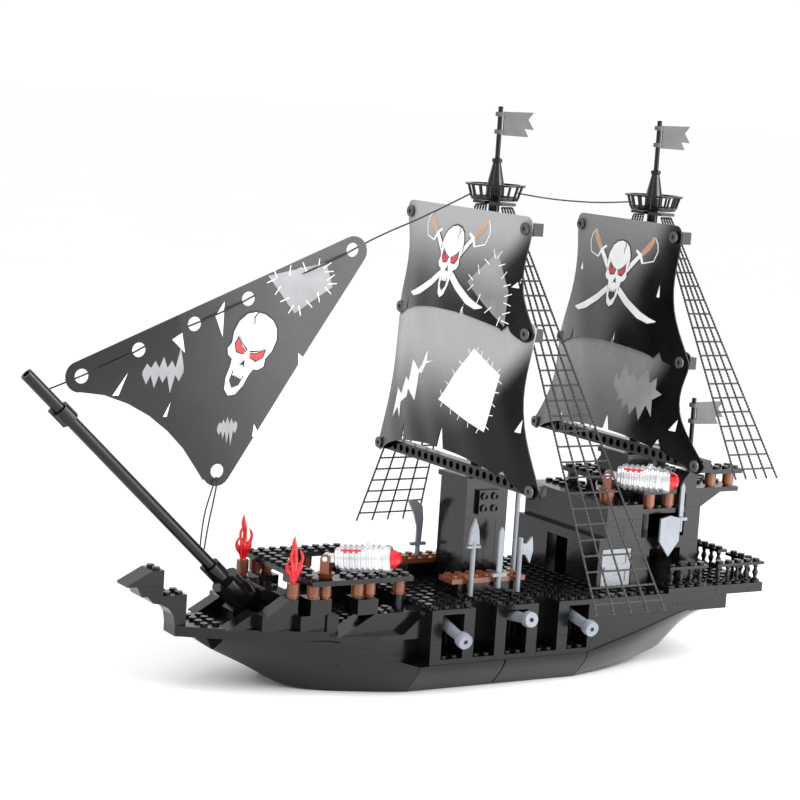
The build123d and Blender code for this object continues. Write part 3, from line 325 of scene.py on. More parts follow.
def forestayRoute():
    # out of one luff hole and into the next, from side to side of the jib
    weave = cordSettings["weave"]
    points = [alongSprit(0.9165, 0.05, -0.58)]
    side = 1
    for (xa, za), (xb, zb) in zip(luffHoles, luffHoles[1:]):
        points.append(((xa + xb) / 2, side * weave, (za + zb) / 2))
        side = -side
    points.append((luffHoles[-1][0] - 2.2, side * weave, luffHoles[-1][1] + 0.95))
    points += [(-2.0, -side * 0.1, 36.98), (-6.1, 0.0, 38.9)]
    return points


def makeCord(name, node, points, body="ship"):
    data = bpy.data.curves.new(name, "CURVE")
    data.dimensions = "3D"
    spline = data.splines.new("NURBS")
    spline.points.add(len(points) - 1)
    for point, place in zip(spline.points, points):
        point.co = (*at(*place), 1)
    spline.order_u = 3
    spline.use_endpoint_u = True
    spline.resolution_u = 12
    data.bevel_depth = cordSettings["diameter"] / 2
    data.bevel_resolution = 3
    data.use_fill_caps = True
    data.materials.append(materials["cord"])
    obj = bpy.data.objects.new(name, data)
    bpy.context.scene.collection.objects.link(obj)
    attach(obj, body)
    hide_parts(node)
    at(*points[0])


mastStay = [(-10.54, 0.0, 39.0), (-13.2, 0.0, 38.66), (-16.3, 0.0, 38.5), (-19.4, 0.0, 38.47),
            (-22.06, 0.0, 38.66)]
jibSheet = [(16.25, 0.36, 10.92), (16.1, 0.5, 12.9), (15.65, 0.42, 14.9), (15.3, 0.14, 16.45)]
makeCord("forestayCord", "forestay", forestayRoute())
makeCord("mastStayCord", "mast_stay", mastStay)
makeCord("jibSheetPort", "jib_sheet_port", jibSheet)
makeCord("jibSheetStarboard", "jib_sheet_starboard", [(x, -y, z) for x, y, z in jibSheet])
print("cords")


# shape helpers

forward, portward = Vector((stud, 0, 0)), Vector((0, stud, 0))


def joinInto(whole, piece):
    faceOut(piece)
    mesh = bpy.data.meshes.new("part")
    piece.to_mesh(mesh)
    piece.free()
    whole.from_mesh(mesh)
    bpy.data.meshes.remove(mesh)


def fillOutline(loops, step):
    # a flat shape with holes, cut into strips so that it can bend
    bm = bmesh.new()
    edges = []
    for loop in loops:
        verts = [bm.verts.new((x, y, 0)) for x, y in loop]
        edges += [bm.edges.new(pair) for pair in zip(verts, verts[1:] + verts[:1])]
    bmesh.ops.triangle_fill(bm, use_beauty=True, use_dissolve=False, edges=edges)
    for axis in (0, 1):
        values = [v.co[axis] for v in bm.verts]
        count = int((max(values) - min(values)) / step)
        for i in range(1, count + 1):
            place, normal = Vector((0, 0, 0)), Vector((0, 0, 0))
            place[axis] = min(values) + i * step
            normal[axis] = 1
            whole = bm.verts[:] + bm.edges[:] + bm.faces[:]
            bmesh.ops.bisect_plane(bm, geom=whole, plane_co=place, plane_no=normal)
    bmesh.ops.triangulate(bm, faces=bm.faces)
    faceOut(bm)
    return bm


def backExtrude(bm, behind):
    # the wall goes straight back from the face
    made = bmesh.ops.extrude_face_region(bm, geom=bm.faces[:])["geom"]
    bmesh.ops.translate(bm, vec=behind, verts=[g for g in made if isinstance(g, bmesh.types.BMVert)])


def bendSheet(loops, step, place, behind, shade):
    # place turns flat (u, v) studs into a point; shade gives the painted sheen and painted shade there
    bm = fillOutline(loops, step)
    layer = bm.verts.layers.float.new("shade")
    for v in bm.verts:
        u, w = v.co.x, v.co.y
        v[layer] = max(0.0, min(1.0, shade(u, w)))
        v.co = place(u, w)
    backExtrude(bm, behind)
    return bm


def taperTube(points, radii, sides):
    bm = bmesh.new()
    rings = []
    for i, (point, radius) in enumerate(zip(points, radii)):
        before, after = points[max(i - 1, 0)], points[min(i + 1, len(points) - 1)]
        turn = (Vector(after) - Vector(before)).to_track_quat("Z", "Y").to_matrix().to_4x4()
        made = bmesh.ops.create_circle(bm, cap_ends=i in (0, len(points) - 1), segments=sides,
                                       radius=radius, matrix=Matrix.Translation(point) @ turn)
        rings.append([e for v in made["verts"] for e in v.link_edges])
    for low, high in zip(rings, rings[1:]):
        bmesh.ops.bridge_loops(bm, edges=list(set(low + high)))
    return bm


def spinProfile(points, origin, direction, steps=32):
    bm = bmesh.new()
    verts = [bm.verts.new((r * stud, 0, h * stud)) for r, h in points]
    edges = [bm.edges.new(pair) for pair in zip(verts, verts[1:])]
    bmesh.ops.spin(bm, geom=verts + edges, cent=(0, 0, 0), axis=(0, 0, 1), dvec=(0, 0, 0),
                   angle=2 * math.pi, steps=steps, use_merge=True, use_duplicate=False)
    bmesh.ops.remove_doubles(bm, verts=bm.verts, dist=1e-6)
    turn = Vector(direction).to_track_quat("Z", "Y").to_matrix().to_4x4()
    bmesh.ops.transform(bm, matrix=Matrix.Translation(origin) @ turn, verts=bm.verts)
    return bm


def mirrorY(bm):
    copied = bmesh.ops.duplicate(bm, geom=bm.verts[:] + bm.edges[:] + bm.faces[:])["geom"]
    for v in (g for g in copied if isinstance(g, bmesh.types.BMVert)):
        v.co.y = -v.co.y
    return bm


def smoothStep(low, high, value):
    t = max(0.0, min(1.0, (value - low) / (high - low)))
    return t * t * (3 - 2 * t)


def arc(centre, radius, start, end, count):
    return [(centre[0] + radius * math.cos(math.radians(start + (end - start) * i / count)),
             centre[1] + radius * math.sin(math.radians(start + (end - start) * i / count)))
            for i in range(count + 1)]


# prints: a skull, crossed swords, patches and tears

skullHalf = [(0, 3.0), (0.7, 2.88), (1.25, 2.5), (1.6, 1.8), (1.64, 1.0), (1.42, 0.3), (1.56, -0.2),
             (1.3, -0.55), (0.9, -0.7), (0.78, -1.2), (0.72, -2.0), (0.46, -2.75), (0, -3.05)]
socketHalf = [(0.16, 0.2), (0.6, 0.4), (1.2, 0.95), (1.26, 0.3), (0.85, -0.2), (0.26, -0.12)]
glowHalf = [(0.22, 0.15), (0.64, 0.32), (1.12, 0.76), (1.15, 0.3), (0.8, -0.08), (0.3, -0.04)]


def mirrorLoop(half):
    return half + [(-x, y) for x, y in reversed(half) if abs(x) > 1e-6]


def skullLayers():
    # a plain skull of this ship's own: (ink, level above the film, outlines)
    mouth = [(0.48, -1.35), (0.2, -1.5), (-0.2, -1.5), (-0.48, -1.35), (-0.42, -2.1), (0, -2.5), (0.42, -2.1)]
    teeth = [[(x, -1.4), (x + 0.16, -1.4), (x + 0.14, -1.66), (x + 0.02, -1.66)]
             for x in (-0.38, -0.18, 0.02, 0.22)]
    crack = [(0.5, 2.95), (0.62, 2.5), (0.45, 2.2), (0.66, 1.8), (0.55, 2.2), (0.74, 2.5), (0.6, 2.95)]
    brow = [(0.1, 0.35), (0.7, 0.62), (1.5, 1.3), (0.7, 0.52), (0.1, 0.2)]
    flip = [(-x, y) for x, y in reversed(brow)]
    left = [(-x, y) for x, y in reversed(socketHalf)]
    leftGlow = [(-x, y) for x, y in reversed(glowHalf)]
    nose = [(0, -0.32), (0.26, -0.92), (0.06, -0.78), (-0.06, -0.78), (-0.26, -0.92)]
    wide = [(x * 1.07, y * 1.045) for x, y in mirrorLoop(skullHalf)]
    return [("printBlack", 1, [wide]), ("printWhite", 2, [mirrorLoop(skullHalf)]),
            ("printBlack", 3, [socketHalf, left, nose, mouth, crack, brow, flip]),
            ("printRed", 4, [glowHalf, leftGlow]), ("printWhite", 4, teeth)]


def strip(points, widths):
    # a ribbon outline along a line of points
    sideA, sideB = [], []
    for i, (point, width) in enumerate(zip(points, widths)):
        a, b = Vector(points[max(i - 1, 0)]), Vector(points[min(i + 1, len(points) - 1)])
        across = Vector((-(b - a).y, (b - a).x)).normalized() * width / 2
        sideA.append(tuple(Vector(point) + across))
        sideB.append(tuple(Vector(point) - across))
    return sideA + sideB[::-1]


def swordLayers():
    # two crossed cutlasses: black edge, white blade, tan grip, white guard and knuckle bow
    layers = []
    for side in (1, -1):
        line = [(2.7, 2.05), (1.5, 0.9), (-0.2, -0.65), (-2.0, -1.85), (-3.8, -2.75), (-5.0, -3.1),
                (-5.75, -3.1)]
        grip = [(2.8, 2.1), (3.55, 2.85), (3.9, 3.25), (4.05, 3.7)]
        guard = [(2.1, 2.45), (2.75, 2.1), (3.15, 1.45)]
        bow = [(3.15, 1.45), (4.4, 1.75), (4.75, 2.6), (4.6, 3.2), (4.15, 3.7)]
        line, grip, guard, bow = ([(x * side, y) for x, y in part] for part in (line, grip, guard, bow))
        layers += [("printBlack", 0, [strip(line, (0.66, 0.7, 0.76, 0.84, 0.86, 0.7, 0.2))]),
                   ("printWhite", 1, [strip(line, (0.42, 0.46, 0.52, 0.6, 0.62, 0.46, 0.08))]),
                   ("printBrown", 1, [strip(grip, (0.42, 0.6, 0.52, 0.4))]),
                   ("printWhite", 1, [strip(guard, (0.2, 0.3, 0.2)), strip(bow, (0.1, 0.1, 0.1, 0.1, 0.08))])]
    return layers


def shifted(layers, centre, scale, tilt=0.0):
    c, s = math.cos(tilt) * scale, math.sin(tilt) * scale
    return [(ink, level, [[(centre[0] + x * c - y * s, centre[1] + x * s + y * c) for x, y in loop]
                          for loop in loops]) for ink, level, loops in layers]


def patchLayers(corners, stitches, ink="printGrey"):
    # a sewn patch, with stitches that lean to either side in turn
    loops = []
    for a, b in zip(corners, corners[1:] + corners[:1]):
        a, b = Vector(a), Vector(b)
        out = Vector(((b - a).y, -(b - a).x)).normalized()
        for i in range(stitches):
            t = (i + 0.5) / stitches
            middle = a.lerp(b, t)
            lean = (b - a).normalized() * (0.12 if i % 2 else -0.1)
            ends = [tuple(middle - out * 0.34 - lean), tuple(middle + out * 0.42 + lean)]
            loops.append(strip(ends, (0.09, 0.07)))
    return [(ink, 1, [corners]), ("printWhite", 2, loops)]


printSettings = {"lift": 0.012, "perLevel": 0.012, "back": -0.01, "step": 0.7}


def makePrints(name, layers, place, body, facing):
    # place(u, v, lift) is a point of the sail, lifted off its face
    byInk = {}
    for ink, level, loops in layers:
        byInk.setdefault(ink, []).append((level, loops))
    for ink, groups in byInk.items():
        whole = bmesh.new()
        for level, loops in groups:
            for loop in loops:
                lift = printSettings["lift"] + printSettings["perLevel"] * level
                piece = fillOutline([loop], printSettings["step"])
                for v in piece.verts:
                    v.co = place(v.co.x, v.co.y, lift)
                backExtrude(piece, facing * printSettings["back"])
                joinInto(whole, piece)
        addObject(name + ink[5:], whole, ink, body)


# square sails

rigs = {
    "fore": {"mast": -8.3, "rows": ((16.68, 11.54), (28.66, 9.41), (36.75, 8.53)), "body": "fore_rig"},
    "main": {"mast": -24.3, "rows": ((18.19, 11.47), (26.2, 8.47), (36.25, 6.52)), "body": "main_rig"}}
sailThick = 0.09
pinAhead = 2.3  # from the mast's axis to the film
corner = 0.75  # how far the film reaches past its pins
hem = 0.62


def squarePlace(mast, low, high, bulgeLow, bulgeHigh, ahead):
    def place(u, v, lift=0.0):
        t = max(-0.1, min(1.1, (v - low[0]) / (high[0] - low[0])))
        half = low[1] + (high[1] - low[1]) * t
        bulge = bulgeLow + (bulgeHigh - bulgeLow) * t
        ripple = 0.05 * math.sin(u * 1.3 + v * 0.7)
        x = mast + pinAhead + ahead + bulge * (1 - (u / half) ** 2) + ripple * (1 - (u / half) ** 2)
        return at(x + sailThick / 2 + lift, u, v)
    return place


def squareOutline(low, high, arch, pinch, notches):
    (z0, h0), (z1, h1) = low, high
    h0, h1 = h0 + corner, h1 + corner
    flat = h0 - 0.9  # half the width of the arched foot
    count = 24

    def footHeight(u):
        return z0 - hem + arch * max(0.0, 1 - (u / flat) ** 2) ** 0.8

    bottom = []
    for i in range(count + 1):
        u = -h0 + 0.9 + (2 * h0 - 1.8) * i / count
        bottom.append((u, footHeight(u) if abs(u) < flat else z0 - hem))
    for place, width, depth in notches:
        kept = [p for p in bottom if abs(p[0] - place) > width / 2]
        z = footHeight(place)
        kept += [(place - width / 2, z), (place + 0.1, z + depth), (place + width / 2, z)]
        bottom = sorted(kept)
    right = arc((h0 - corner, z0 + 0.1), corner, -75, -5, 5)
    for i in range(1, 12):
        t = i / 12
        right.append((h0 + (h1 - h0) * t - pinch * math.sin(math.pi * t) ** 1.2, z0 + (z1 - z0) * t))
    right += arc((h1 - corner, z1 + 0.2), corner, 0, 90, 6)
    left = [(-u, v) for u, v in reversed(right)]
    return bottom + right + left


def paintedSheenFan(top, bottom, edge, slope, strength, floor=0.0):
    # painted sheen: light at the head of the sail, with painted shade falling darker at the foot and black
    # towards the port leech
    def shade(u, v):
        height = smoothStep(bottom, top, v)
        reach = edge + (v - bottom) * slope
        side = 1 - smoothStep(reach - 1.2, reach + 1.8, u)
        leech = smoothStep(-11.5, -7.5, u)
        return strength * (floor + (1 - floor) * height ** 1.5) * side * (0.2 + 0.8 * leech)
    return shade


def triangle(u, v, width, height, lean=0.0):
    return [(u - width / 2, v), (u + width / 2, v), (u + lean, v + height)]


sails = {
    "foreTopsail": {"rig": "fore", "rows": (1, 2), "bulge": (1.9, 0.15), "ahead": 0.12, "arch": 1.5,
                    "pinch": 1.1,
                    "notches": ((-7.2, 0.3, 1.1), (2.4, 0.6, 1.2), (7.6, 0.9, 0.5)),
                    "holes": [triangle(-5.4, 29.9, 0.3, 1.5), triangle(7.9, 32.1, 0.9, 0.9, 0.7)],
                    "shade": paintedSheenFan(37.0, 29.2, 1.4, 0.95, 0.85), "replaces": "fore_topsail"},
    "foreCourse": {"rig": "fore", "rows": (0, 1), "bulge": (1.8, 1.75), "ahead": 0.0, "arch": 2.3, "pinch": 1.3,
                   "notches": ((-6.0, 0.5, 1.7), (0.8, 1.0, 1.9), (8.4, 1.3, 0.5)),
                   "holes": [triangle(9.6, 21.0, 0.7, 1.2, 0.4)],
                   "shade": paintedSheenFan(27.0, 18.2, 1.6, 0.85, 0.85), "replaces": "fore_course"},
    "mainTopsail": {"rig": "main", "rows": (1, 2), "bulge": (1.8, 0.15), "ahead": 0.12, "arch": 1.4,
                    "pinch": 1.2,
                    "notches": ((-5.6, 0.4, 1.2), (1.2, 0.5, 1.4), (6.4, 0.8, 0.6)),
                    "holes": [triangle(5.4, 31.2, 0.4, 1.3), triangle(-5.8, 32.4, 0.5, 0.9)],
                    "shade": paintedSheenFan(37.5, 28.5, 0.6, 0.5, 0.5, 0.28), "replaces": "main_topsail"},
    "mainCourse": {"rig": "main", "rows": (0, 1), "bulge": (1.6, 1.6), "ahead": 0.0, "arch": 2.0, "pinch": 1.6,
                   "notches": ((-6.4, 0.6, 1.3), (1.0, 0.8, 1.4), (7.2, 1.0, 0.9)),
                   "holes": [triangle(8.6, 20.6, 0.8, 1.1, 0.5)],
                   "shade": paintedSheenFan(26.0, 18.6, 2.2, 0.55, 0.6, 0.55), "replaces": "main_course"}}
places = {}
for name, s in sails.items():
    rig = rigs[s["rig"]]
    low, high = (rig["rows"][i] for i in s["rows"])
    place = squarePlace(rig["mast"], low, high, *s["bulge"], s["ahead"])
    places[name] = (place, rig["body"], forward)
    outline = squareOutline(low, high, s["arch"], s["pinch"], s["notches"])
    bm = bendSheet([outline] + s["holes"], 0.45, place, forward * -sailThick, s["shade"])
    addObject(name + "Film", bm, "sailFilm", rig["body"], [s["replaces"]], 50)

forePatch = [(5.4, 34.8), (2.4, 32.0), (7.4, 29.0), (7.3, 31.8)]
coursePatch = [(4.3, 26.9), (0.1, 22.2), (6.2, 20.5), (7.4, 25.2)]
courseTear = [(-2.1, 25.9), (-2.9, 24.6), (-3.6, 24.1), (-4.9, 24.8), (-5.4, 22.9), (-6.0, 23.2),
              (-6.9, 21.6), (-7.9, 22.0), (-8.6, 19.4), (-7.6, 20.4), (-7.0, 19.6), (-7.0, 20.9),
              (-5.5, 21.6), (-5.4, 22.3), (-4.0, 21.5), (-3.5, 23.9), (-2.9, 23.9), (-2.2, 24.8),
              (-1.1, 25.2), (-2.1, 25.0)]
mainTear = [(1.6, 23.4), (1.9, 24.6), (2.4, 23.9), (3.0, 26.1), (3.5, 24.3), (3.9, 25.0), (4.4, 24.2),
            (5.5, 25.3), (5.8, 24.1), (6.5, 24.7), (6.5, 23.7), (7.2, 23.4), (6.2, 22.8), (6.3, 21.4),
            (5.6, 22.3), (5.0, 20.9), (4.6, 22.1), (3.9, 21.2), (3.6, 22.2), (2.9, 21.5), (2.9, 22.5),
            (2.2, 22.1), (2.3, 22.8)]
foreBadge = shifted(swordLayers(), (-0.9, 33.3), 1.0) + shifted(skullLayers(), (-0.9, 33.3), 0.96)
mainBadge = shifted(swordLayers(), (-0.1, 32.3), 1.0) + shifted(skullLayers(), (-0.1, 32.6), 0.92)
makePrints("foreTopsailPrint", foreBadge + patchLayers(forePatch, 4), *places["foreTopsail"])
makePrints("foreCoursePrint", patchLayers(coursePatch, 5, "printWhite") + [("printWhite", 1, [courseTear])],
           *places["foreCourse"])
makePrints("mainTopsailPrint", mainBadge, *places["mainTopsail"])
makePrints("mainCoursePrint", [("printGrey", 1, [mainTear])], *places["mainCourse"])
print("square sails")


# jib

jibSettings = {"corner": 1.2, "hole": 0.56, "belly": 0.35}


def jibPlace(u, v, lift=0.0):
    # the film bellies a little to starboard below its luff
    alongLuff = (u - luffHoles[-1][0]) / (luffHoles[0][0] - luffHoles[-1][0])
    luffZ = luffHoles[-1][1] + (luffHoles[0][1] - luffHoles[-1][1]) * alongLuff
    belly = jibSettings["belly"] * smoothStep(1.0, 7.0, luffZ - v)
    return at(u, belly * -0.6 + sailThick / 2 + lift, v)


def jibOutline():
    foot = [(27.0, 23.2), (25.0, 22.95), (23.0, 22.25), (21.2, 21.3), (19.6, 20.1), (18.2, 18.7), (17.1, 17.2),
            (16.4, 16.2)]
    radius = jibSettings["corner"]
    tip = arc((26.95, 24.35), radius, 55, -80, 8)
    clew = arc((15.3, 16.9), radius, -30, -150, 6)
    head = arc((4.5, 34.0), radius, 205, 65, 8)
    return tip + foot + clew + head


def jibPaintedSheen(u, v):
    # a soft painted sheen band across the head
    return 0.1 + 0.9 * smoothStep(21.0, 6.0, u * 0.8 - (v - 26) * 0.35 + 2.0) if u < 19 else 0.1


jibHoles = [arc(hole, jibSettings["hole"], 0, 345, 23) for hole in luffHoles + [clewHole]]
jibSlits = [triangle(24.1, 22.9, 0.5, 1.7, -0.9), triangle(19.9, 21.2, 0.3, 1.1, -0.4),
            [(18.9, 27.6), (19.7, 27.1), (18.6, 26.1)], [(15.5, 30.0), (16.2, 28.9), (15.5, 27.3)],
            [(8.8, 26.0), (8.1, 25.5), (8.7, 25.0)], [(12.3, 20.5), (11.8, 19.6), (12.4, 19.5)]]
bm = bendSheet([jibOutline()] + jibHoles, 0.6, jibPlace, portward * -sailThick, jibPaintedSheen)
addObject("jibFilm", bm, "jibFilm", "ship", ["jib"], 50)


def spiked(centre, width, up, down):
    # a torn hole seen through to the grey lining
    n = 5
    top = [(centre[0] - width / 2 + width * (i + 0.5 * k) / n, centre[1] + (up[i] if k else 0.35))
           for i in range(n) for k in (0, 1)]
    low = [(centre[0] + width / 2 - width * (i + 0.5 * k) / n, centre[1] - (down[i] if k else 0.2))
           for i in range(n) for k in (0, 1)]
    return top + [(centre[0] + width / 2, centre[1] + 0.1)] + low + [(centre[0] - width / 2, centre[1])]


jibTears = [spiked((20.3, 24.6), 3.4, (1.9, 0.9, 1.2, 0.9, 0.7), (0.9, 1.2, 0.8, 1.6, 0.7)),
            spiked((14.6, 20.2), 1.7, (0.6, 0.8, 0.9, 0.7, 0.5), (0.5, 0.8, 1.2, 1.4, 0.4))]
jibPatch = [(11.9, 32.0), (6.9, 33.1), (6.2, 31.2), (9.4, 29.1)]
jibPrints = (shifted(skullLayers(), (13.3, 25.9), 1.13, 0.42) + patchLayers(jibPatch, 4)
             + [("printGrey", 1, jibTears), ("printWhite", 1, jibSlits)])
makePrints("jibPrintPort", jibPrints, jibPlace, "ship", portward)
print("jib")


# yard pins, whose heads hold the film against the yards

pinSettings = {"shaft": 0.27, "head": 0.46, "behind": -0.5, "front": 0.34, "socket": 0.17}


def pinProfile(s):
    return [(0, s["behind"]), (s["shaft"], s["behind"]), (s["shaft"], 0.1), (s["head"], 0.1),
            (s["head"] + 0.04, 0.15), (s["head"] + 0.04, s["front"] - 0.06), (s["head"], s["front"]),
            (s["socket"] + 0.04, s["front"]), (s["socket"], s["front"] - 0.04), (s["socket"], 0.2), (0, 0.2)]


for name, rig in rigs.items():
    whole = bmesh.new()
    for i, (z, half) in enumerate(rig["rows"]):
        for side in (1, -1):
            ahead = 0.12 if i == 2 else 0.0
            centre = at(rig["mast"] + pinAhead + ahead, side * half, z)
            joinInto(whole, spinProfile(pinProfile(pinSettings), centre, (1, 0, 0), 24))
    addObject(name + "YardPins", whole, "pinGrey", rig["body"], [name + "_sail_pins"], 40)
print("pins")


# shroud nets of moulded rope

netSettings = {"radius": 0.1, "flat": 0.7, "pitch": 0.55, "steps": 8, "sides": 6}
nets = {
    "foreNet": {"top": (-7.8, -8.8, 1.9, 37.9), "foot": (-8.07, -14.5, 18.4, 8.35), "strands": 5, "rungs": 26,
                "node": "shroud_nets_fore"},
    "mainNet": {"top": (-23.8, -24.8, 1.9, 37.5), "foot": (-24.8, -29.1, 13.17, 17.29), "strands": 5,
                "rungs": 18,
                "node": "shroud_nets_main"}}


def ropeRun(start, end, s, swell=1.0):
    # a two-strand twist: an oval ring screwed along its own axis
    length = (end - start).length
    count = max(2, int(length / (s["pitch"] * stud) * s["steps"]))
    bm = bmesh.new()
    bmesh.ops.create_circle(bm, segments=s["sides"], radius=s["radius"] * swell * stud)
    bmesh.ops.scale(bm, vec=(1, s["flat"], 1), verts=bm.verts)
    bmesh.ops.spin(bm, geom=bm.edges[:], cent=(0, 0, 0), axis=(0, 0, 1), dvec=(0, 0, length / count),
                   angle=2 * math.pi * count / s["steps"], steps=count, use_merge=False, use_duplicate=False)
    bmesh.ops.holes_fill(bm, edges=[e for e in bm.edges if e.is_boundary], sides=0)
    turn = (end - start).to_track_quat("Z", "Y").to_matrix().to_4x4()
    bmesh.ops.transform(bm, matrix=Matrix.Translation(start) @ turn, verts=bm.verts)
    return bm


def makeNet(name, s):
    whole = bmesh.new()
    top, foot = s["top"], s["foot"]

    def spot(k, t):
        xTop = top[0] + (top[1] - top[0]) * k
        xFoot = foot[0] + (foot[1] - foot[0]) * k
        return at(xTop + (xFoot - xTop) * t, top[2] + (foot[2] - top[2]) * t, top[3] + (foot[3] - top[3]) * t)

    for i in range(s["strands"]):
        k = i / (s["strands"] - 1)
        joinInto(whole, ropeRun(spot(k, 0), spot(k, 1), netSettings))
    for j in range(s["rungs"] + 1):
        t = j / (s["rungs"] + 0.7)
        joinInto(whole, ropeRun(spot(0, t), spot(1, t), netSettings, 0.9))
    mirrorY(whole)
    addObject(name, whole, "net", "ship", [s["node"]], 60)


for name, s in nets.items():
    makeNet(name, s)
print("nets")


# deck guns

deckGuns = {
    "foreGun": {"hinge": (7.9, 4.7, 10.75), "tilt": 5, "body": "fore_gun_barrel", "node": "fore_gun"},
    "aftGun": {"hinge": (-18.4, 4.6, 16.35), "tilt": 0, "body": "aft_gun_barrel", "node": "aft_gun"}}
gunTurn = -42  # out over the port quarter
# (radius, distance from the hinge): a breech, seven ribs and a muzzle ring
gunProfile = [(0, 0.75), (0.7, 0.75), (0.82, 0.84), (0.82, 1.05), (0.98, 1.15)]
for i in range(7):
    start = 1.3 + i * 0.44
    gunProfile += [(0.98, start), (1.08, start + 0.06), (1.08, start + 0.24), (0.98, start + 0.3)]
gunProfile += [(0.98, 4.5), (1.06, 4.58), (1.06, 4.98), (0.98, 5.12), (0.8, 5.15), (0.76, 4.9), (0, 4.9)]
noseProfile = [(0, 4.91), (0.7, 4.91), (0.72, 5.12), (0.67, 5.4), (0.52, 5.65), (0.28, 5.8), (0, 5.84)]


def gunBlock(x0, x1, y0, y1, z0, z1, bevel=0.05):
    bm = bmesh.new()
    bmesh.ops.create_cube(bm, size=1)
    bmesh.ops.scale(bm, vec=((x1 - x0) * stud, (y1 - y0) * stud, (z1 - z0) * stud), verts=bm.verts)
    bmesh.ops.translate(bm, vec=at((x0 + x1) / 2, (y0 + y1) / 2, (z0 + z1) / 2), verts=bm.verts)
    bmesh.ops.bevel(bm, geom=bm.edges[:], offset=bevel * stud, segments=2, profile=0.5, affect="EDGES",
                    material=-1)
    return bm


for name, s in deckGuns.items():
    x, y, z = s["hinge"]
    origin = at(x, y, z)
    aim = (Matrix.Translation(origin) @ Matrix.Rotation(math.radians(gunTurn), 4, "Z")
           @ Matrix.Rotation(math.radians(s["tilt"]), 4, "Y") @ Matrix.Translation(-origin))
    whole = bmesh.new()
    joinInto(whole, spinProfile(gunProfile, origin, (-1, 0, 0), 40))
    joinInto(whole, gunBlock(x - 0.78, x - 0.1, y - 0.32, y + 0.32, z - 0.32, z + 0.32))
    joinInto(whole, taperTube([at(x, y - 0.6, z), at(x, y + 0.6, z)], [0.2 * stud] * 2, 20))
    joinInto(whole, taperTube([at(x, y - 0.32, z), at(x, y + 0.32, z)], [0.36 * stud] * 2, 24))
    sight = [at(x - 3.4, y, z + 0.95), at(x - 3.4, y, z + 1.25)]
    joinInto(whole, taperTube(sight, [0.24 * stud, 0.18 * stud], 20))
    nose = spinProfile(noseProfile, origin, (-1, 0, 0), 10)
    window = gunBlock(x - 2.9, x - 1.3, y - 0.85, y - 0.55, z + 0.55, z + 0.82)
    joinInto(window, gunBlock(x - 2.9, x - 1.3, y + 0.55, y + 0.85, z + 0.55, z + 0.82))
    for bm in (whole, nose, window):
        bmesh.ops.transform(bm, matrix=aim, verts=bm.verts)
    addObject(name + "Barrel", whole, "silver", s["body"], [s["node"]], 35)
    addObject(name + "Nose", nose, "clearRed", s["body"], ())
    addObject(name + "Windows", window, "clearRed", s["body"], ())
print("guns")


# torches' flames

flameSettings = {"places": ((10.45, 4.3), (10.45, -4.3)), "low": 8.8, "height": 3.7}


def flame(x, y, low, height):
    bm = bmesh.new()
    tongues = ((0, 0, 1.0, 0.27), (0.5, -0.1, 0.52, 0.2), (-0.5, 0.16, 0.7, 0.21), (0.34, 0.2, 0.76, 0.18),
               (-0.62, -0.16, 0.42, 0.18))
    for lean, over, reach, girth in tongues:
        points, radii = [], []
        for i in range(13):
            t = i / 12
            sway = lean * math.sin(t * 2.0) + 0.14 * math.sin(t * 9 + lean * 4) * t
            points.append(at(x + sway, y + over * math.sin(t * 2.2), low + height * reach * t))
            radii.append(stud * girth * (0.85 + 0.25 * math.sin(t * 11 + reach * 5)) * (1 - t ** 5) + 0.0001)
        joinInto(bm, taperTube(points, radii, 12))
    return bm


whole = bmesh.new()
for x, y in flameSettings["places"]:
    joinInto(whole, flame(x, y, flameSettings["low"], flameSettings["height"]))
addObject("torchFlames", whole, "clearRed", "ship", ["flames"], 50)
print("flames")


# hull: three moulded shells with overlapping planks, rounded at the turn of the bilge

# a station is x, then the half width and height of the rail, the chine and the keel's edge
hulls = {
    "bowHull": {"node": "hull_bow", "planks": 6, "lip": 0.045, "stations": [
        (1.0, 8.2, 2.4, 8.2, 1.85, 6.4, 0.0), (4.0, 7.6, 3.3, 7.3, 2.2, 5.4, 0.0),
        (7.5, 6.4, 4.4, 6.0, 2.8, 3.9, 0.02), (10.0, 5.35, 4.4, 4.8, 2.9, 2.3, 0.35),
        (12.8, 4.1, 4.4, 3.4, 3.2, 1.2, 1.8), (15.4, 2.7, 4.4, 2.2, 3.7, 1.0, 3.1)]},
    "middleHull": {"node": "hull_mid_sections", "planks": 2, "lip": 0.0, "stations": [
        (-15.0, 8.2, 2.4, 8.2, 1.85, 6.4, 0.0), (-7.06, 8.2, 2.4, 8.2, 1.85, 6.4, 0.0)]},
    "forwardHull": {"node": None, "planks": 2, "lip": 0.0, "stations": [
        (-6.94, 8.2, 2.4, 8.2, 1.85, 6.4, 0.0), (0.94, 8.2, 2.4, 8.2, 1.85, 6.4, 0.0)]},
    "sternHull": {"node": "hull_stern", "planks": 6, "lip": 0.05, "stations": [
        (-29.2, 7.4, 5.2, 5.6, 4.9, 3.6, 4.2), (-26.2, 7.9, 5.2, 6.6, 4.5, 4.2, 2.2),
        (-24.6, 8.1, 5.2, 7.2, 4.2, 4.6, 1.3),
        (-20.0, 8.2, 3.8, 8.0, 2.9, 5.6, 0.5), (-15.06, 8.2, 2.4, 8.2, 1.85, 6.4, 0.0)]}}


def easeThrough(rows, steps):
    # a smooth run through the stations
    made = []
    for i in range(len(rows) - 1):
        a, b, c, d = rows[max(i - 1, 0)], rows[i], rows[i + 1], rows[min(i + 2, len(rows) - 1)]
        for j in range(steps):
            t = j / steps
            made.append([0.5 * (2 * q + (r - p) * t + (2 * p - 5 * q + 4 * r - w) * t * t
                                + (3 * q - p - 3 * r + w) * t ** 3) for p, q, r, w in zip(a, b, c, d)])
    return made + [list(rows[-1])]


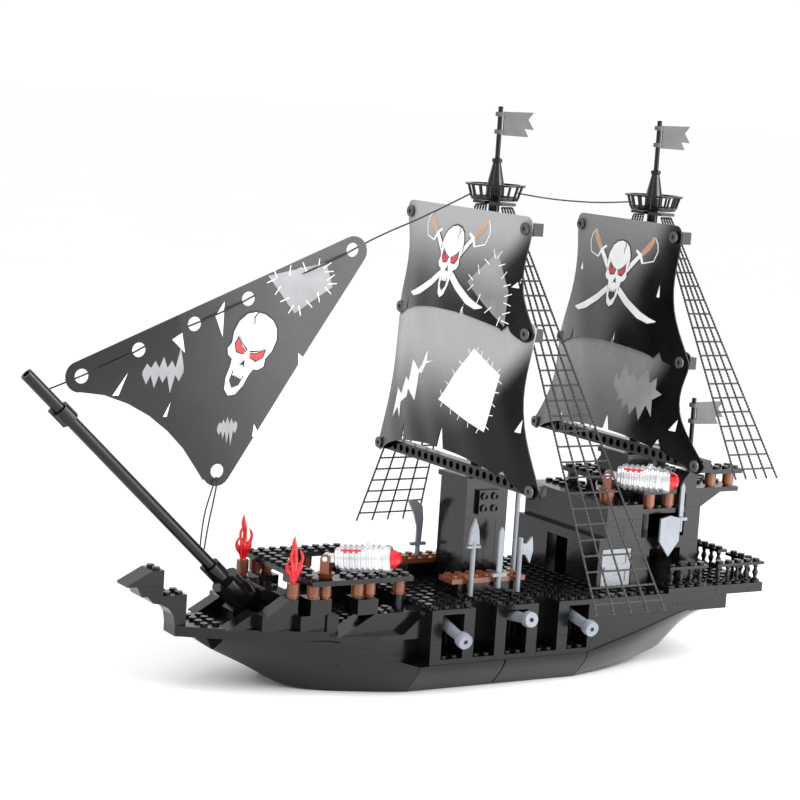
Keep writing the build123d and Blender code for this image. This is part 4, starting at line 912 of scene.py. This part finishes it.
def hullSide(row, s):
    # keel to rail on the port side: each plank's lower edge stands proud of the one below
    x, topY, topZ, chineY, chineZ, keelY, keelZ = row
    ends = [Vector((keelY, keelZ)), Vector((chineY, chineZ)), Vector((topY, topZ))]
    first, second = ends[0].lerp(ends[1], 0.72), ends[2].lerp(ends[1], 0.72)
    side = []
    for i in range(s["planks"]):
        for k in range(5):
            t = (i + k / 4 * 0.995) / s["planks"]
            point = (ends[0] * (1 - t) ** 3 + first * 3 * t * (1 - t) ** 2 + second * 3 * t * t * (1 - t)
                     + ends[2] * t ** 3)
            proud = s["lip"] * (1 - k / 4) if i else 0.0
            side.append((x, point.x + proud * 0.4, point.y - proud * 0.5))
    return side


for name, s in hulls.items():
    bm = bmesh.new()
    rings = []
    for row in easeThrough(s["stations"], 6 if len(s["stations"]) > 2 else 1):
        side = hullSide(row, s)
        loop = [bm.verts.new(at(*point)) for point in side + [(x, -y, z) for x, y, z in reversed(side)]]
        rings.append([bm.edges.new(pair) for pair in zip(loop, loop[1:] + loop[:1])])
    for low, high in zip(rings, rings[1:]):
        bmesh.ops.bridge_loops(bm, edges=low + high)
    bmesh.ops.holes_fill(bm, edges=[e for e in bm.edges if e.is_boundary], sides=0)
    addObject(name, bm, "blackHull", "ship", [s["node"]] if s["node"] else (), 28)
print("hull")


# CAD nodes that stay: each takes the finish of its own plastic

finishes = {
    "brownBrick": ["round_bricks", "bench_planks", "fore_gun_base", "aft_gun_base"],
    "lightGrey": ["weapons_and_shield"] + ["cannon_%s_%d" % (side, i) for side in ("port", "starboard")
                                           for i in (1, 2, 3)],
    "flagGrey": ["fore_flag", "main_flag", "stern_flag"],
    "clearGrey": ["cabin_door"]}
nodeFinish = {node: finish for finish, names in finishes.items() for node in names}


def finishNodes():
    for name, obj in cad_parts.items():
        if obj.hide_render:
            continue
        material = materials[nodeFinish.get(name, "blackBrick")]
        if not obj.material_slots:
            obj.data.materials.append(material)
        for slot in obj.material_slots:
            slot.material = material


finishNodes()
print("CAD nodes")
